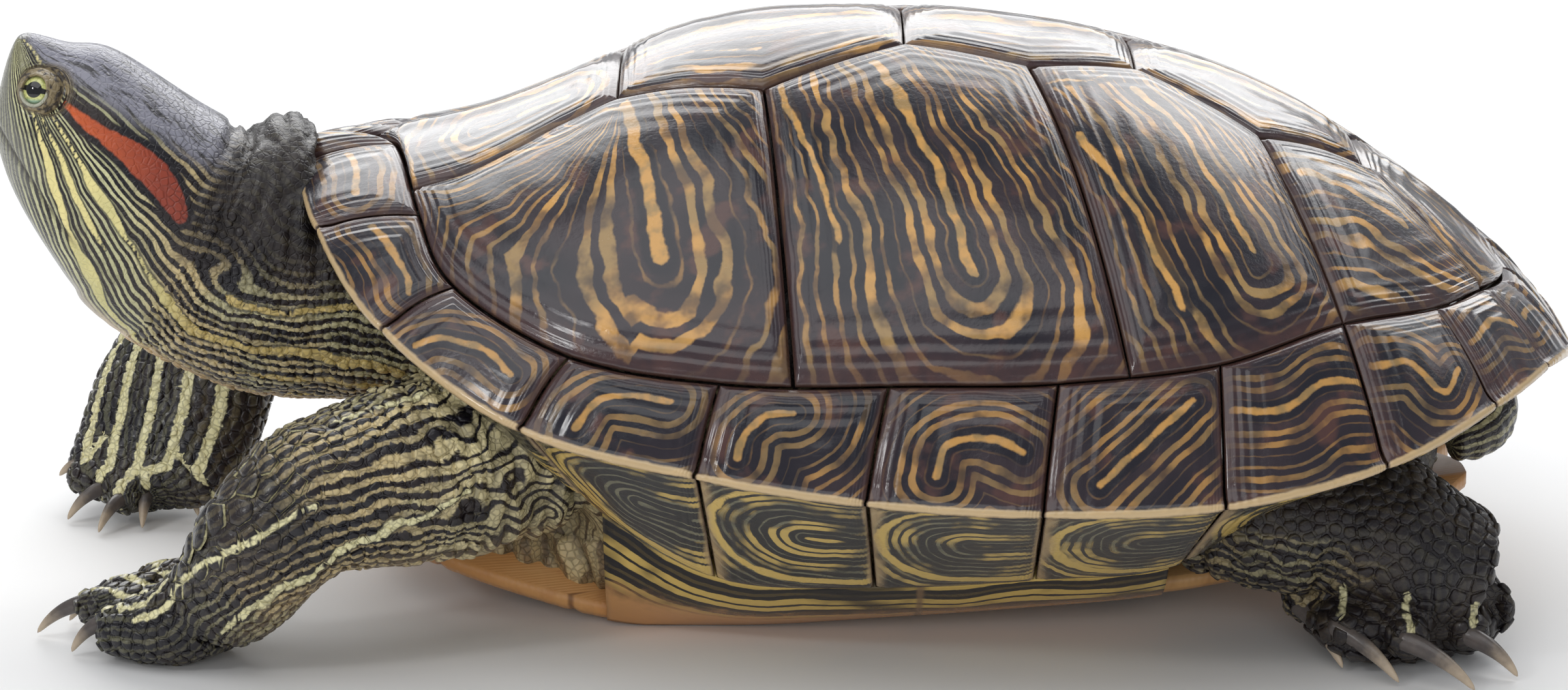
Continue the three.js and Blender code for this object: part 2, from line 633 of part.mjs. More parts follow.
// A limb from its upper, lower and palm pieces, every piece cut clear of the one above it.
function buildLimb(shape, end, walls) {
  const blanks = { upper: limb(shape.upper), lower: limb(shape.lower) };
  const upper = main(cutBy(blanks.upper, walls, EDGE_GAP));
  const lower = main(cutBy(cutBy(blanks.lower, [blanks.upper]), walls, EDGE_GAP));
  const claws = shape.toes.map((points) => claw(points, CLAW_RADIUS[end]));
  const toes = shape.toes.map((points) => toe(points, TOE_RADIUS[end]));
  const whole = toes.reduce((body, digit) => body.add(digit), limb(shape.palm, { perSpan: 1 }));
  const palm = main(cutBy(whole, [blanks.upper, blanks.lower, ...claws]).trimByPlane([0, 0, 1], 0));
  return { upper, lower, palm, claws };
}

// ---------------------------------------------------------------- assembly

const COLOURS = {
  carapace: { color: 0x3b3026, roughness: 0.28 },
  marginal: { color: 0x4a3b28, roughness: 0.3 },
  plastron: { color: 0xc98a52, roughness: 0.4 },
  skin: { color: 0x4c4a3f, roughness: 0.55 },
  claw: { color: 0x6a625c, roughness: 0.35 },
  eye: { color: 0xb8bf7a, roughness: 0.08 },
};

const model = new THREE.Group();

function place(name, body, kind) {
  const mesh = body.getMesh();
  const geometry = new THREE.BufferGeometry();
  geometry.setAttribute("position", new THREE.BufferAttribute(new Float32Array(mesh.vertProperties), 3));
  geometry.setIndex(new THREE.BufferAttribute(new Uint32Array(mesh.triVerts), 1));
  geometry.translate(-REST_X, 0, 0);
  const made = new THREE.Mesh(geometry, new THREE.MeshStandardMaterial({ ...COLOURS[kind], metalness: 0 }));
  made.name = name;
  model.add(made);
}

const shell = {};
for (let i = 0; i < VERTEBRAL_SEAMS.length - 1; i += 1) shell[`vertebral_${i + 1}`] = vertebral(i);
for (let k = 0; k < COSTAL_ENDS.length - 1; k += 1) {
  shell[`costal_left_${k + 1}`] = costal(k);
  shell[`costal_right_${k + 1}`] = mirrored(shell[`costal_left_${k + 1}`]);
}
for (const [name, body] of Object.entries(shell)) place(name, body, "carapace");
const ring = { nuchal_scute: nuchal(), marginals_left: marginals() };
ring.marginals_right = mirrored(ring.marginals_left);
for (const [name, body] of Object.entries(ring)) place(name, body, "marginal");
const belly = { plastron: plastron(), bridge_left: bridge() };
belly.bridge_right = mirrored(belly.bridge_left);
for (const [name, body] of Object.entries(belly)) place(name, body, "plastron");

const hard = [...Object.values(ring), belly.plastron, belly.bridge_left, belly.bridge_right];
const core = main(cutBy(trunk(), hard, EDGE_GAP));
place("trunk", core, "skin");

const walls = [core, ...hard];
const nape = headBack.dot(vec(onHead(HEAD_SECTIONS[HEAD_SECTIONS.length - 1][0] + GAP, 0, 0)));
const neck = main(cutBy(limb(NECK, { around: 14 }), walls, EDGE_GAP).trimByPlane(headBack.toArray(), nape));
place("neck", neck, "skin");

const eyes = { eye_left: eye(1), eye_right: eye(-1) };
const orbits = [1, -1].map((side) => ball(onHead(EYE.s + 0.5, side * (EYE.l - 0.8), EYE.h + 0.5), ORBIT, 2));
const skull = orbits.reduce((body, orbit) => body.add(orbit), headLoft(HEAD_SECTIONS));
const face = cutBy(skull, Object.values(eyes));
place("head", main(face.subtract(jawRegion(GAP))), "skin");
place("lower_jaw", main(face.intersect(jawRegion(0))), "skin");
for (const [name, body] of Object.entries(eyes)) place(name, body, "eye");

const limbs = {
  front_left: buildLimb(ARM_LEFT, "front", [...walls, neck]),
  front_right: buildLimb(ARM_RIGHT, "front", [...walls, neck]),
  hind_left: buildLimb(LEG_LEFT, "hind", walls),
  hind_right: buildLimb(LEG_RIGHT, "hind", walls),
};
for (const [corner, pieces] of Object.entries(limbs)) {
  const names = corner.startsWith("front") ? ["upper_arm", "forearm", "hand"] : ["thigh", "shank", "foot"];
  const side = corner.split("_")[1];
  place(`${names[0]}_${side}`, pieces.upper, "skin");
  place(`${names[1]}_${side}`, pieces.lower, "skin");
  place(`${names[2]}_${side}`, pieces.palm, "skin");
  pieces.claws.forEach((body, i) => place(`claw_${corner}_${i + 1}`, body, "claw"));
}
const legs = [limbs.hind_left.upper, limbs.hind_right.upper];
place("tail", main(cutBy(limb(TAIL), [...walls, ...legs], EDGE_GAP)), "skin");

export default model;
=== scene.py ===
# Red-eared slider, an adult female at life size: shell plates, one skin, scales, eyes and claws
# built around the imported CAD. Working numbers are millimetres; meshes are written in metres.
import itertools
import math
from types import SimpleNamespace

import bmesh
import bpy
import numpy as np
from mathutils import Matrix, Vector, noise
from mathutils.bvhtree import BVHTree
from mathutils.kdtree import KDTree


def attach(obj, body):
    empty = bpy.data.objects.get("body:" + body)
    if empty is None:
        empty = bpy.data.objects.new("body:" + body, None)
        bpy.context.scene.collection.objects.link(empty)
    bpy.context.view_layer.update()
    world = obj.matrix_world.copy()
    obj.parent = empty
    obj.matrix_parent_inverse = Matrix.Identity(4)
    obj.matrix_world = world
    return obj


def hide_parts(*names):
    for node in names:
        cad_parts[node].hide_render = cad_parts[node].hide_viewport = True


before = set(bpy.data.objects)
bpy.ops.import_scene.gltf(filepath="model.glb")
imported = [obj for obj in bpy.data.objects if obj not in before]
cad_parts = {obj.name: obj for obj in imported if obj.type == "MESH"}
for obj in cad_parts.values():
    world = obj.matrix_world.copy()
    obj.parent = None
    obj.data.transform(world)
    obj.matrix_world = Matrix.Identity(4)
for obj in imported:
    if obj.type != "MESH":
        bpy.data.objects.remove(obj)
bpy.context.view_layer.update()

MM = 0.001
REST = np.array([-48.0, 0, 0])  # the flat of the plastron on the floor, where the frame's origin is
rng = np.random.default_rng(7)


# ---------------------------------------------------------------- the shell's surface, as in the CAD

SCUTE = 3.0  # thickness of the carapace plates
# Cross section of the dome: (1 - across ** power) ** fullness of the height over the rim.
DOME_POWER = 2.1
DOME_FULLNESS = 0.86
# Height of the middle of the back, as (x, z).
RIDGE = [
    (-126, 84), (-112, 87.5), (-91, 91.5), (-74, 97.8), (-61, 104), (-46, 109), (-30, 111.5), (-8, 112),
    (22, 109), (47, 103), (69, 94), (86, 83.5), (102, 71.5), (114, 60), (122, 51.5), (125.5, 45),
]
# Ends of the seams between marginals: on the rim (x, y, z), on the line where they meet the costals (x, y),
# and on their inner edge below (x, y, z).
SEAMS = [
    ((-125.5, 0, 86.3), (-111.5, 0), (-111, 0, 78)),
    ((-124, 8, 84.6), (-105.6, 8), (-110.5, 8, 76.8)),
    ((-118.5, 33, 77.2), (-99.5, 37), (-105, 29, 68)),
    ((-104.5, 57, 63.8), (-92, 55), (-93, 47, 52)),
    ((-78, 78, 50.5), (-70, 72.5), (-68, 62, 31)),
    ((-46, 88, 44.5), (-42, 80.7), (-43, 65, 16)),
    ((-15, 92, 40.5), (-11, 82.5), (-13, 65, 14)),
    ((17, 94, 39), (20, 82.5), (17, 65, 15.5)),
    ((50, 92.5, 40), (50, 78), (45, 66, 19.5)),
    ((80, 83, 45), (74, 65.5), (66, 66, 38.5)),
    ((102, 65, 51.5), (93, 51), (89, 52, 43.5)),
    ((114.5, 44, 53.5), (104, 33.5), (102, 35, 46)),
    ((122, 22, 50.5), (110, 17), (108.5, 18, 44)),
    ((125.5, 0, 45), (112.5, 0), (111.5, 0, 40)),
]
# Where vertebrals and costals meet, as (x, y).
VERTEBRAL_EDGE = [
    (-101, 29), (-91, 28), (-73, 22.5), (-62.5, 22), (-34, 32), (-7, 17.5), (17, 22.5), (38, 14.5),
    (61, 27), (83, 13), (104, 33.5),
]
VERTEBRAL_SEAMS = [-110.9, -62.5, -7, 38, 83, 111.9]
COSTAL_CORNERS = [0, 4, 6, 8, 10]  # rows of VERTEBRAL_EDGE where the costals' seams start
COSTAL_ENDS = [1.75, 5.45, 7.43, 9, 11]  # places along SEAMS where they end
# The plastron's outline, as (x, half width, height of its underside).
PLASTRON_LINE = [
    (-114, 9, 15), (-110, 22, 13.5), (-99, 35, 9.8), (-80, 40, 4.2), (-64, 43, 0.8), (-56, 43.5, 0),
    (-40, 43.5, 0), (-10, 43.5, 1.6), (22, 43.5, 4), (45, 43, 6.2), (58, 41, 8), (78, 37, 12),
    (94, 29, 16), (104, 16, 19),
]
PLASTRON = 4.0  # thickness of the plastron
BRIDGE_FROM = -64
BRIDGE_TO = 42


def along(table, x, k=1):
    """Monotone cubic through the rows (x, value, ...) of a table, column k."""
    xs = np.array([row[0] for row in table], float)
    ys = np.array([row[k] for row in table], float)
    x = np.clip(np.asarray(x, float), xs[0], xs[-1])
    slope = np.diff(ys) / np.diff(xs)
    before, after = slope[:-1], slope[1:]
    total = np.where(before + after == 0, 1, before + after)
    inner = np.where(before * after <= 0, 0, 2 * before * after / total)
    tangent = np.concatenate([slope[:1], inner, slope[-1:]])
    i = np.clip(np.searchsorted(xs, x, "right") - 1, 0, len(xs) - 2)
    width = xs[i + 1] - xs[i]
    t = (x - xs[i]) / width
    start = ys[i] * (2 * t**3 - 3 * t**2 + 1) + tangent[i] * width * (t**3 - 2 * t**2 + t)
    return start + ys[i + 1] * (3 * t**2 - 2 * t**3) + tangent[i + 1] * width * (t**3 - t**2)


def through(points, u):
    """Catmull-Rom curve through control points, at fractional indices u."""
    p = np.asarray(points, float)
    u = np.clip(np.asarray(u, float), 0, len(p) - 1)
    i = np.minimum(np.floor(u).astype(int), len(p) - 2)
    t = (u - i)[..., None]
    a, b, c, d = p[np.maximum(i - 1, 0)], p[i], p[i + 1], p[np.minimum(i + 2, len(p) - 1)]
    return 0.5 * (2 * b + (c - a) * t + (2 * a - 5 * b + 4 * c - d) * t**2 + (3 * b - a - 3 * c + d) * t**3)


RIM_POINTS = [seam[0] for seam in SEAMS]
INNER_POINTS = [seam[1] for seam in SEAMS]
UNDER_POINTS = [seam[2] for seam in SEAMS]
STEPS = np.arange(0, len(SEAMS) - 1 + 1e-9, 0.125)
RIM_LINE = through(RIM_POINTS, STEPS)
INNER_LINE = through(INNER_POINTS, STEPS)
UNDER_LINE = through(UNDER_POINTS, STEPS)


def dome_height(x, y):
    """Height of the carapace over the plan point (x, y)."""
    half = np.interp(x, RIM_LINE[:, 0], RIM_LINE[:, 1])
    rim = np.interp(x, RIM_LINE[:, 0], RIM_LINE[:, 2])
    across = np.minimum(np.abs(y) / np.maximum(half, 1), 1)
    return rim + (along(RIDGE, x) - rim) * (1 - across**DOME_POWER) ** DOME_FULLNESS


def dome_normal(x, y):
    """Outward unit normal of the carapace over (x, y)."""
    step = 0.5
    dx = (dome_height(x + step, y) - dome_height(x - step, y)) / (2 * step)
    dy = (dome_height(x, y + step) - dome_height(x, y - step)) / (2 * step)
    normal = np.stack([-dx, -dy, np.ones_like(dx)], -1)
    return normal / np.linalg.norm(normal, axis=-1, keepdims=True)


def dome_point(x, y):
    """Point of the carapace over (x, y)."""
    return np.stack([x, y, dome_height(x, y)], -1)


# ---------------------------------------------------------------- small maths


def mix(a, b, t):
    """From a at t = 0 to b at t = 1."""
    return a + (b - a) * t


def smooth(low, high, x):
    """A soft step from 0 at low to 1 at high."""
    t = np.clip((np.asarray(x, float) - low) / (high - low), 0, 1)
    return t * t * (3 - 2 * t)


def arch(start, middle, end, t):
    """Quadratic curve from start through middle, at half way, to end."""
    bend = 2 * middle - 0.5 * (start + end)
    return start * (1 - t) ** 2 + 2 * bend * t * (1 - t) + end * t**2


def dip(x, centre, width):
    """A bell from 0 to 1, highest at the centre."""
    return np.exp(-(((x - centre) / width) ** 2))


def least(values):
    """The least of several arrays, place by place."""
    return np.minimum.reduce(list(values))


def unit(v):
    """Vectors brought to length 1."""
    return v / np.maximum(np.linalg.norm(v, axis=-1, keepdims=True), 1e-9)


def near_line(points, line):
    """Distance from points to an open polyline, and the fractional index of the nearest place on it."""
    points = np.asarray(points, float)
    line = np.asarray(line, float)
    best = np.full(len(points), 1e9)
    place = np.zeros(len(points))
    for i in range(len(line) - 1):
        a, b = line[i], line[i + 1]
        edge = b - a
        t = np.clip((points - a) @ edge / max(edge @ edge, 1e-9), 0, 1)
        gap = np.linalg.norm(points - (a + t[:, None] * edge), axis=1)
        closer = gap < best
        best = np.where(closer, gap, best)
        place = np.where(closer, i + t, place)
    return best, place


def waves(points, size, seed=0, octaves=2):
    """Smooth noise from -1 to 1 at points, with features about `size` mm across."""
    total = np.zeros(len(points))
    strength = 0
    shift = np.array([13.1, 7.7, 3.9]) * (seed + 1)
    for octave in range(octaves):
        scale = size / 2**octave
        local = points / scale + shift
        total += np.array([noise.noise(Vector(p)) for p in local]) / 2**octave
        strength += 1 / 2**octave
    return total / strength


# ---------------------------------------------------------------- building meshes


class Bundle:
    """Vertices, faces and per-vertex marks of several bodies that become one mesh object."""

    def __init__(self):
        self.points, self.faces, self.marks, self.count = [], [], {}, 0

    def add(self, points, faces, **marks):
        points = np.asarray(points, float).reshape(-1, 3)
        self.faces += [tuple(int(i) + self.count for i in face) for face in faces]
        self.points.append(points)
        self.count += len(points)
        for name, values in marks.items():
            self.marks.setdefault(name, []).append(np.asarray(values, float).reshape(len(points), -1))

    def build(self, name, material):
        mesh = bpy.data.meshes.new(name)
        points = (np.concatenate(self.points) - REST) * MM
        mesh.from_pydata(points.tolist(), [], self.faces)
        for key, parts in self.marks.items():
            values = np.concatenate(parts)
            kind, field = ("FLOAT_VECTOR", "vector") if values.shape[1] == 3 else ("FLOAT", "value")
            layer = mesh.attributes.new(key, kind, "POINT")
            layer.data.foreach_set(field, values.ravel().astype(np.float32))
        tidy = bmesh.new()
        tidy.from_mesh(mesh)
        bmesh.ops.recalc_face_normals(tidy, faces=tidy.faces)
        tidy.to_mesh(mesh)
        tidy.free()
        mesh.polygons.foreach_set("use_smooth", [True] * len(mesh.polygons))
        mesh.materials.append(material)
        made = bpy.data.objects.new(name, mesh)
        bpy.context.scene.collection.objects.link(made)
        return made


def read(items, key, width, kind=np.float32):
    """One property of all items of a mesh, as rows of `width` numbers."""
    values = np.empty(len(items) * width, kind)
    items.foreach_get(key, values)
    return values.reshape(-1, width)


def grid_faces(rows, columns):
    """Faces of an open grid of points."""
    i, j = np.meshgrid(np.arange(rows - 1), np.arange(columns - 1), indexing="ij")
    a = (i * columns + j).ravel()
    return np.stack([a, a + columns, a + columns + 1, a + 1], 1).tolist()


def round_faces(rows, around):
    """Faces between closed rings of points."""
    faces = []
    for i, j in itertools.product(range(rows - 1), range(around)):
        k = (j + 1) % around
        faces.append((i * around + j, i * around + k, (i + 1) * around + k, (i + 1) * around + j))
    return faces


def border(rows, columns):
    """Indices round the edge of a grid, in order."""
    top = [(0, j) for j in range(columns)]
    right = [(i, columns - 1) for i in range(1, rows)]
    bottom = [(rows - 1, j) for j in range(columns - 2, -1, -1)]
    left = [(i, 0) for i in range(rows - 2, 0, -1)]
    return [i * columns + j for i, j in top + right + bottom + left]


def add_patch(bundle, surface, below, heart, **marks):
    """Adds a grid surface closed by a skirt down to `below` and a fan to the point `heart`."""
    rows, columns = surface.shape[:2]
    ring = border(rows, columns)
    points = np.concatenate([surface.reshape(-1, 3), below.reshape(-1, 3)[ring], [heart]])
    faces = grid_faces(rows, columns)
    first = rows * columns
    last = len(points) - 1
    for k, index in enumerate(ring):
        after = (k + 1) % len(ring)
        faces.append((index, ring[after], first + after, first + k))
        faces.append((first + k, first + after, last))
    carried = {name: np.concatenate([values, values[ring], values[:1]]) for name, values in marks.items()}
    bundle.add(points, faces, **carried)


def spread(count, fine=0.42):
    """Grid positions from 0 to 1, closer together near both ends."""
    t = np.linspace(0, 1, count)
    return t - fine * np.sin(2 * np.pi * t) / (2 * np.pi)


def plate_grid(along_s, along_t):
    """Grid positions s and t of a plate, with rows along s."""
    return np.meshgrid(along_s, along_t, indexing="ij")


def arcs(surface, axis):
    """Arc length along one grid axis, and its total, for every grid point."""
    steps = np.linalg.norm(np.diff(surface, axis=axis), axis=-1)
    zero = np.zeros_like(np.take(steps, [0], axis=axis))
    run = np.concatenate([zero, np.cumsum(steps, axis=axis)], axis=axis)
    return run, np.take(run, [-1], axis=axis)


def edge_arcs(surface):
    """Arc lengths from every grid point to the front, rear, top and foot edges."""
    run_s, all_s = arcs(surface, 0)
    run_t, all_t = arcs(surface, 1)
    return [run_s, all_s - run_s, run_t, all_t - run_t]


# Growth rings: at each weighted distance from the seam (mm) the plate steps down by a height (mm).
RINGS = [(0.9, 0.22), (1.7, 0.22), (2.7, 0.2), (4.2, 0.16), (6.6, 0.12), (10.5, 0.09), (15.5, 0.05)]
SEAM_DEPTH = 0.6
SEAM_WIDTH = 0.5
PLATE_GAP = 0.3  # mm between neighbouring plates


def relief(seam, growth, wobble):
    """Height of a plate's surface for a distance to the seam and a weighted distance to it."""
    height = -SEAM_DEPTH * np.exp(-((seam / SEAM_WIDTH) ** 1.4))
    reach = growth * (1 + 0.10 * wobble)
    for place, step in RINGS:
        height -= step * (1 - smooth(place * 0.86, place * 1.06, reach))
        height += 0.6 * step * np.exp(-(((reach - place * 1.1) / (0.10 * place + 0.06)) ** 2))
    return height


def add_plate(bundle, s, t, x, y, spines, spacing, strokes, weights, keel=0.0):
    """One plate of the carapace over the plan points (x, y), with its marks.

    spines: polylines in (s, t) that the stripes nest round; spacing(s, t) in mm between stripes.
    strokes: bold bars as (polyline in (s, t), half width in mm).
    weights: how far growth rings spread from the front, rear, top and foot edges.
    keel: how far the middle line of the back stands proud, in mm.
    """
    surface = dome_point(x, y)
    normal = dome_normal(x, y)
    rows, columns = s.shape
    size = np.array([arcs(surface, axis)[1].mean() for axis in (0, 1)])
    flat = np.stack([(s * size[0]).ravel(), (t * size[1]).ravel()], 1)
    where = surface.reshape(-1, 3)
    warp = np.stack([waves(where, 17, 1), waves(where, 17, 2)], 1) * 2.6
    warp += np.stack([waves(where, 5, 3, 1), waves(where, 5, 4, 1)], 1) * 0.9
    moved = flat + warp
    phase = np.full(len(flat), 1e9)
    for spine in spines:
        gap, _ = near_line(moved, np.asarray(spine) * size)
        phase = np.minimum(phase, gap / spacing(s.ravel(), t.ravel()))
    bold = np.full(len(flat), -9.0)
    for line, half in strokes:
        gap, _ = near_line(moved, np.asarray(line) * size)
        bold = np.maximum(bold, half - gap)
    sides = edge_arcs(surface)
    seam = least(sides)
    growth = least(side / weight for side, weight in zip(sides, weights))
    height = relief(seam, growth, waves(where, 22, 5).reshape(rows, columns))
    height = height + keel * np.exp(-((y / KEEL_WIDTH) ** 2)) * smooth(0, 9, seam)
    shaped = surface + normal * height[..., None]
    below = surface - normal * SCUTE
    marks = np.stack([phase, bold, growth.ravel()], 1)
    zones = np.stack([np.zeros(s.size), np.ones(s.size), seam.ravel()], 1)
    add_patch(bundle, shaped, below, below[rows // 2, columns // 2], marks=marks, zones=zones)


# ---------------------------------------------------------------- costal and vertebral plates


def costal_plan(k, s, t):
    """Plan points of costal k at s (front to rear) and t (top to foot)."""
    medial = np.array(VERTEBRAL_EDGE[COSTAL_CORNERS[k]:COSTAL_CORNERS[k + 1] + 1], float)
    v = mix(0.004, 0.996, s)
    x = mix(medial[0, 0], medial[-1, 0], v)
    top = np.stack([x, np.interp(x, medial[:, 0], medial[:, 1])], -1)
    foot = through(INNER_POINTS, mix(COSTAL_ENDS[k], COSTAL_ENDS[k + 1], v))
    length = np.linalg.norm(foot - top, axis=-1, keepdims=True)
    trim = np.minimum(PLATE_GAP / length, 0.4)
    return top + (foot - top) * mix(trim, 1 - trim, t[..., None])


def fan_spacing(wide, focus, reach, bar):
    """Stripe spacing that closes up towards a focus in front of the bar, and stays wide behind it."""

    def spacing(s, t):
        away = np.hypot((s - focus[0]) * 1.1, t - focus[1])
        front = wide * np.clip(away / reach, 0.12, 1.2)
        return np.where(s < bar + 0.12 * t, front, wide * mix(0.75, 1.0, np.clip(t * 1.5, 0, 1)))

    return spacing


def ramp_spacing(top, foot):
    """Stripe spacing that grows evenly from a plate's top to its foot."""
    return lambda s, t: mix(top, foot, np.clip(t, 0, 1))


COSTALS = [
    dict(  # the first: a fan of rays in front of one bold bar, and loops under it
        spines=[[(0.62, 0.08), (0.68, 0.3), (0.74, 0.55), (0.77, 0.72)]],
        spacing=fan_spacing(4.5, (0.56, 0.05), 0.62, 0.62),
        strokes=[([(0.62, 0.07), (0.69, 0.3), (0.745, 0.55), (0.772, 0.71)], 1.7),
                 ([(0.52, 0.10), (0.62, 0.09)], 0.9)],
        weights=(1.7, 0.8, 0.9, 2.6),
    ),
    dict(  # the second: a slanting bar inside nested loops that close up towards the top
        spines=[[(0.36, 0.0), (0.43, 0.25), (0.53, 0.55), (0.58, 0.78)]],
        spacing=ramp_spacing(2.4, 4.5),
        strokes=[([(0.38, 0.08), (0.45, 0.3), (0.53, 0.52), (0.575, 0.79)], 1.5),
                 ([(0.07, 0.02), (0.10, 0.25), (0.15, 0.5), (0.16, 0.68)], 1.2)],
        weights=(1.1, 0.8, 0.9, 3.2),
    ),
    dict(
        spines=[[(0.34, 0.04), (0.46, 0.28), (0.56, 0.52), (0.66, 0.78)]],
        spacing=ramp_spacing(2.6, 4.2),
        strokes=[([(0.40, 0.15), (0.50, 0.35), (0.58, 0.56), (0.66, 0.76)], 1.4),
                 ([(0.04, 0.36), (0.14, 0.52), (0.20, 0.68), (0.24, 0.86)], 1.3),
                 ([(0.02, 0.10), (0.18, 0.12), (0.30, 0.08)], 0.9)],
        weights=(1.2, 0.8, 0.9, 2.2),
    ),
    dict(
        spines=[[(-0.1, 0.35), (0.3, 0.42), (0.6, 0.62), (1.1, 0.8)],
                [(0.5, -0.1), (0.8, 0.2), (1.1, 0.3)]],
        spacing=ramp_spacing(3.2, 3.6),
        strokes=[([(0.08, 0.26), (0.3, 0.36), (0.5, 0.50)], 1.3)],
        weights=(1.0, 0.8, 0.9, 1.3),
    ),
]


def costals(side):
    """The four costal plates of one side."""
    bundle = Bundle()
    s, t = plate_grid(spread(76), spread(86))
    for k, spec in enumerate(COSTALS):
        plan = costal_plan(k, s, t)
        add_plate(bundle, s, t, plan[..., 0], side * plan[..., 1], **spec)
    return bundle


# For each vertebral, as (s, t) with t across the back: the spine of one side, the spacing of its stripes in
# mm, and short bold bars.
VERTEBRALS = [
    ([(0.45, 0.27), (0.8, 0.24)], 4.0,
     [([(0.62, 0.25), (0.8, 0.23)], 1.5), ([(0.62, 0.75), (0.8, 0.77)], 1.5)]),
    ([(0.1, 0.2), (0.9, 0.22)], 4.4, [([(0.3, 0.2), (0.5, 0.18)], 0.9)]),
    ([(0.0, 0.2), (0.9, 0.28)], 4.6, [([(0.5, 0.8), (0.7, 0.75)], 0.9)]),
    ([(0.1, 0.2), (0.8, 0.25)], 4.2, [([(0.3, 0.2), (0.6, 0.22)], 0.9)]),
    ([(0.1, 0.3), (0.9, 0.2)], 4.0, [([(0.3, 0.3), (0.6, 0.26)], 0.9)]),
]
KEEL = 0.9  # how far the keel stands proud along the back
KEEL_WIDTH = 3.5
BACK_WEIGHTS = (1.4, 1.2, 0.9, 0.9)


def vertebral_half(x):
    """Half width of the plates along the back."""
    xs, halves = zip(*VERTEBRAL_EDGE)
    inner = np.interp(x, INNER_LINE[:, 0], INNER_LINE[:, 1])
    free = np.where((x < VERTEBRAL_SEAMS[1]) | (x > VERTEBRAL_SEAMS[4]), np.maximum(inner - 0.9, 0.6), 99)
    return np.minimum(np.interp(x, xs, halves) - PLATE_GAP / 2, free)


def vertebrals():
    """The five plates along the back, striped alike on both sides of the middle."""
    bundle = Bundle()
    s, t = plate_grid(spread(72), spread(72))
    for k, (spine, spacing, strokes) in enumerate(VERTEBRALS):
        x = mix(VERTEBRAL_SEAMS[k] + PLATE_GAP / 2, VERTEBRAL_SEAMS[k + 1] - PLATE_GAP / 2, s)
        y = mix(-1, 1, t) * vertebral_half(x)
        spines = [spine, [(a, 1 - b) for a, b in spine]]
        even = ramp_spacing(spacing, spacing)
        add_plate(bundle, s, t, x, y, spines, even, strokes, BACK_WEIGHTS, KEEL)
    return bundle


# ---------------------------------------------------------------- marginal plates

RIM_ROUND = 1.1  # radius of the shell's rim
TOP_PART = 0.52  # share of the grid columns above the rim
RIM_PART = 0.02  # share of the columns that turn round the rim, on each side of it
TOP_PITCH = 2.9  # mm between stripes above the rim
LOW_PITCH = 2.8  # and below it


def marginal_surface(u, t):
    """Skin of the marginal ring at fractional seam index u; t runs from the costals round the rim below."""
    rim = through(RIM_POINTS, u)
    plan = through(INNER_POINTS, u)
    under = through(UNDER_POINTS, u)
    top = dome_point(plan[..., 0], plan[..., 1])
    crest = mix(top, rim, 0.55)
    crest[..., 2] += 1.2
    lip = rim - np.array([0, 0, 2 * RIM_ROUND])
    out = unit((rim - top) * np.array([1, 1, 0]))
    t = t[..., None]
    upper = np.clip(t / (TOP_PART - RIM_PART), 0, 1)
    turn = np.clip((t - TOP_PART + RIM_PART) / (2 * RIM_PART), 0, 1)
    lower = np.clip((t - TOP_PART - RIM_PART) / (1 - TOP_PART - RIM_PART), 0, 1)
    over = arch(top, crest, rim, upper)
    below = arch(lip, mix(lip, under, 0.5), under, lower)
    edge = mix(rim, lip, 0.5) + out * RIM_ROUND * np.sin(np.pi * turn)
    edge = edge + np.array([0, 0, 1]) * RIM_ROUND * np.cos(np.pi * turn)
    return np.where(t < TOP_PART - RIM_PART, over, np.where(t > TOP_PART + RIM_PART, below, edge))


# Bold crescents of the marginals, as (s, t) above the rim and below it.
CRESCENTS = [
    [(0.2, 0.5), (0.5, 0.45), (0.8, 0.5)],
    [(0.15, 0.45), (0.4, 0.35), (0.75, 0.38), (0.9, 0.5)],
    [(0.25, 0.9), (0.35, 0.6), (0.55, 0.45), (0.8, 0.5)],
    [(0.28, 0.8), (0.33, 0.45), (0.5, 0.3), (0.75, 0.3)],
    [(0.22, 0.75), (0.22, 0.5), (0.34, 0.3), (0.48, 0.25)],
    [(0.36, 0.75), (0.4, 0.5), (0.6, 0.42), (0.86, 0.55)],
    [(0.28, 0.8), (0.45, 0.6), (0.62, 0.42), (0.8, 0.25)],
    [(0.05, 0.35), (0.4, 0.42), (0.7, 0.34), (1.0, 0.4)],
    [(0.1, 0.3), (0.4, 0.4), (0.6, 0.7), (0.8, 0.6)],
    [(0.1, 0.4), (0.5, 0.35), (0.9, 0.5)],
    [(0.2, 0.5), (0.6, 0.4), (0.9, 0.5)],
    [(0.2, 0.5), (0.6, 0.45), (0.9, 0.5)],
]


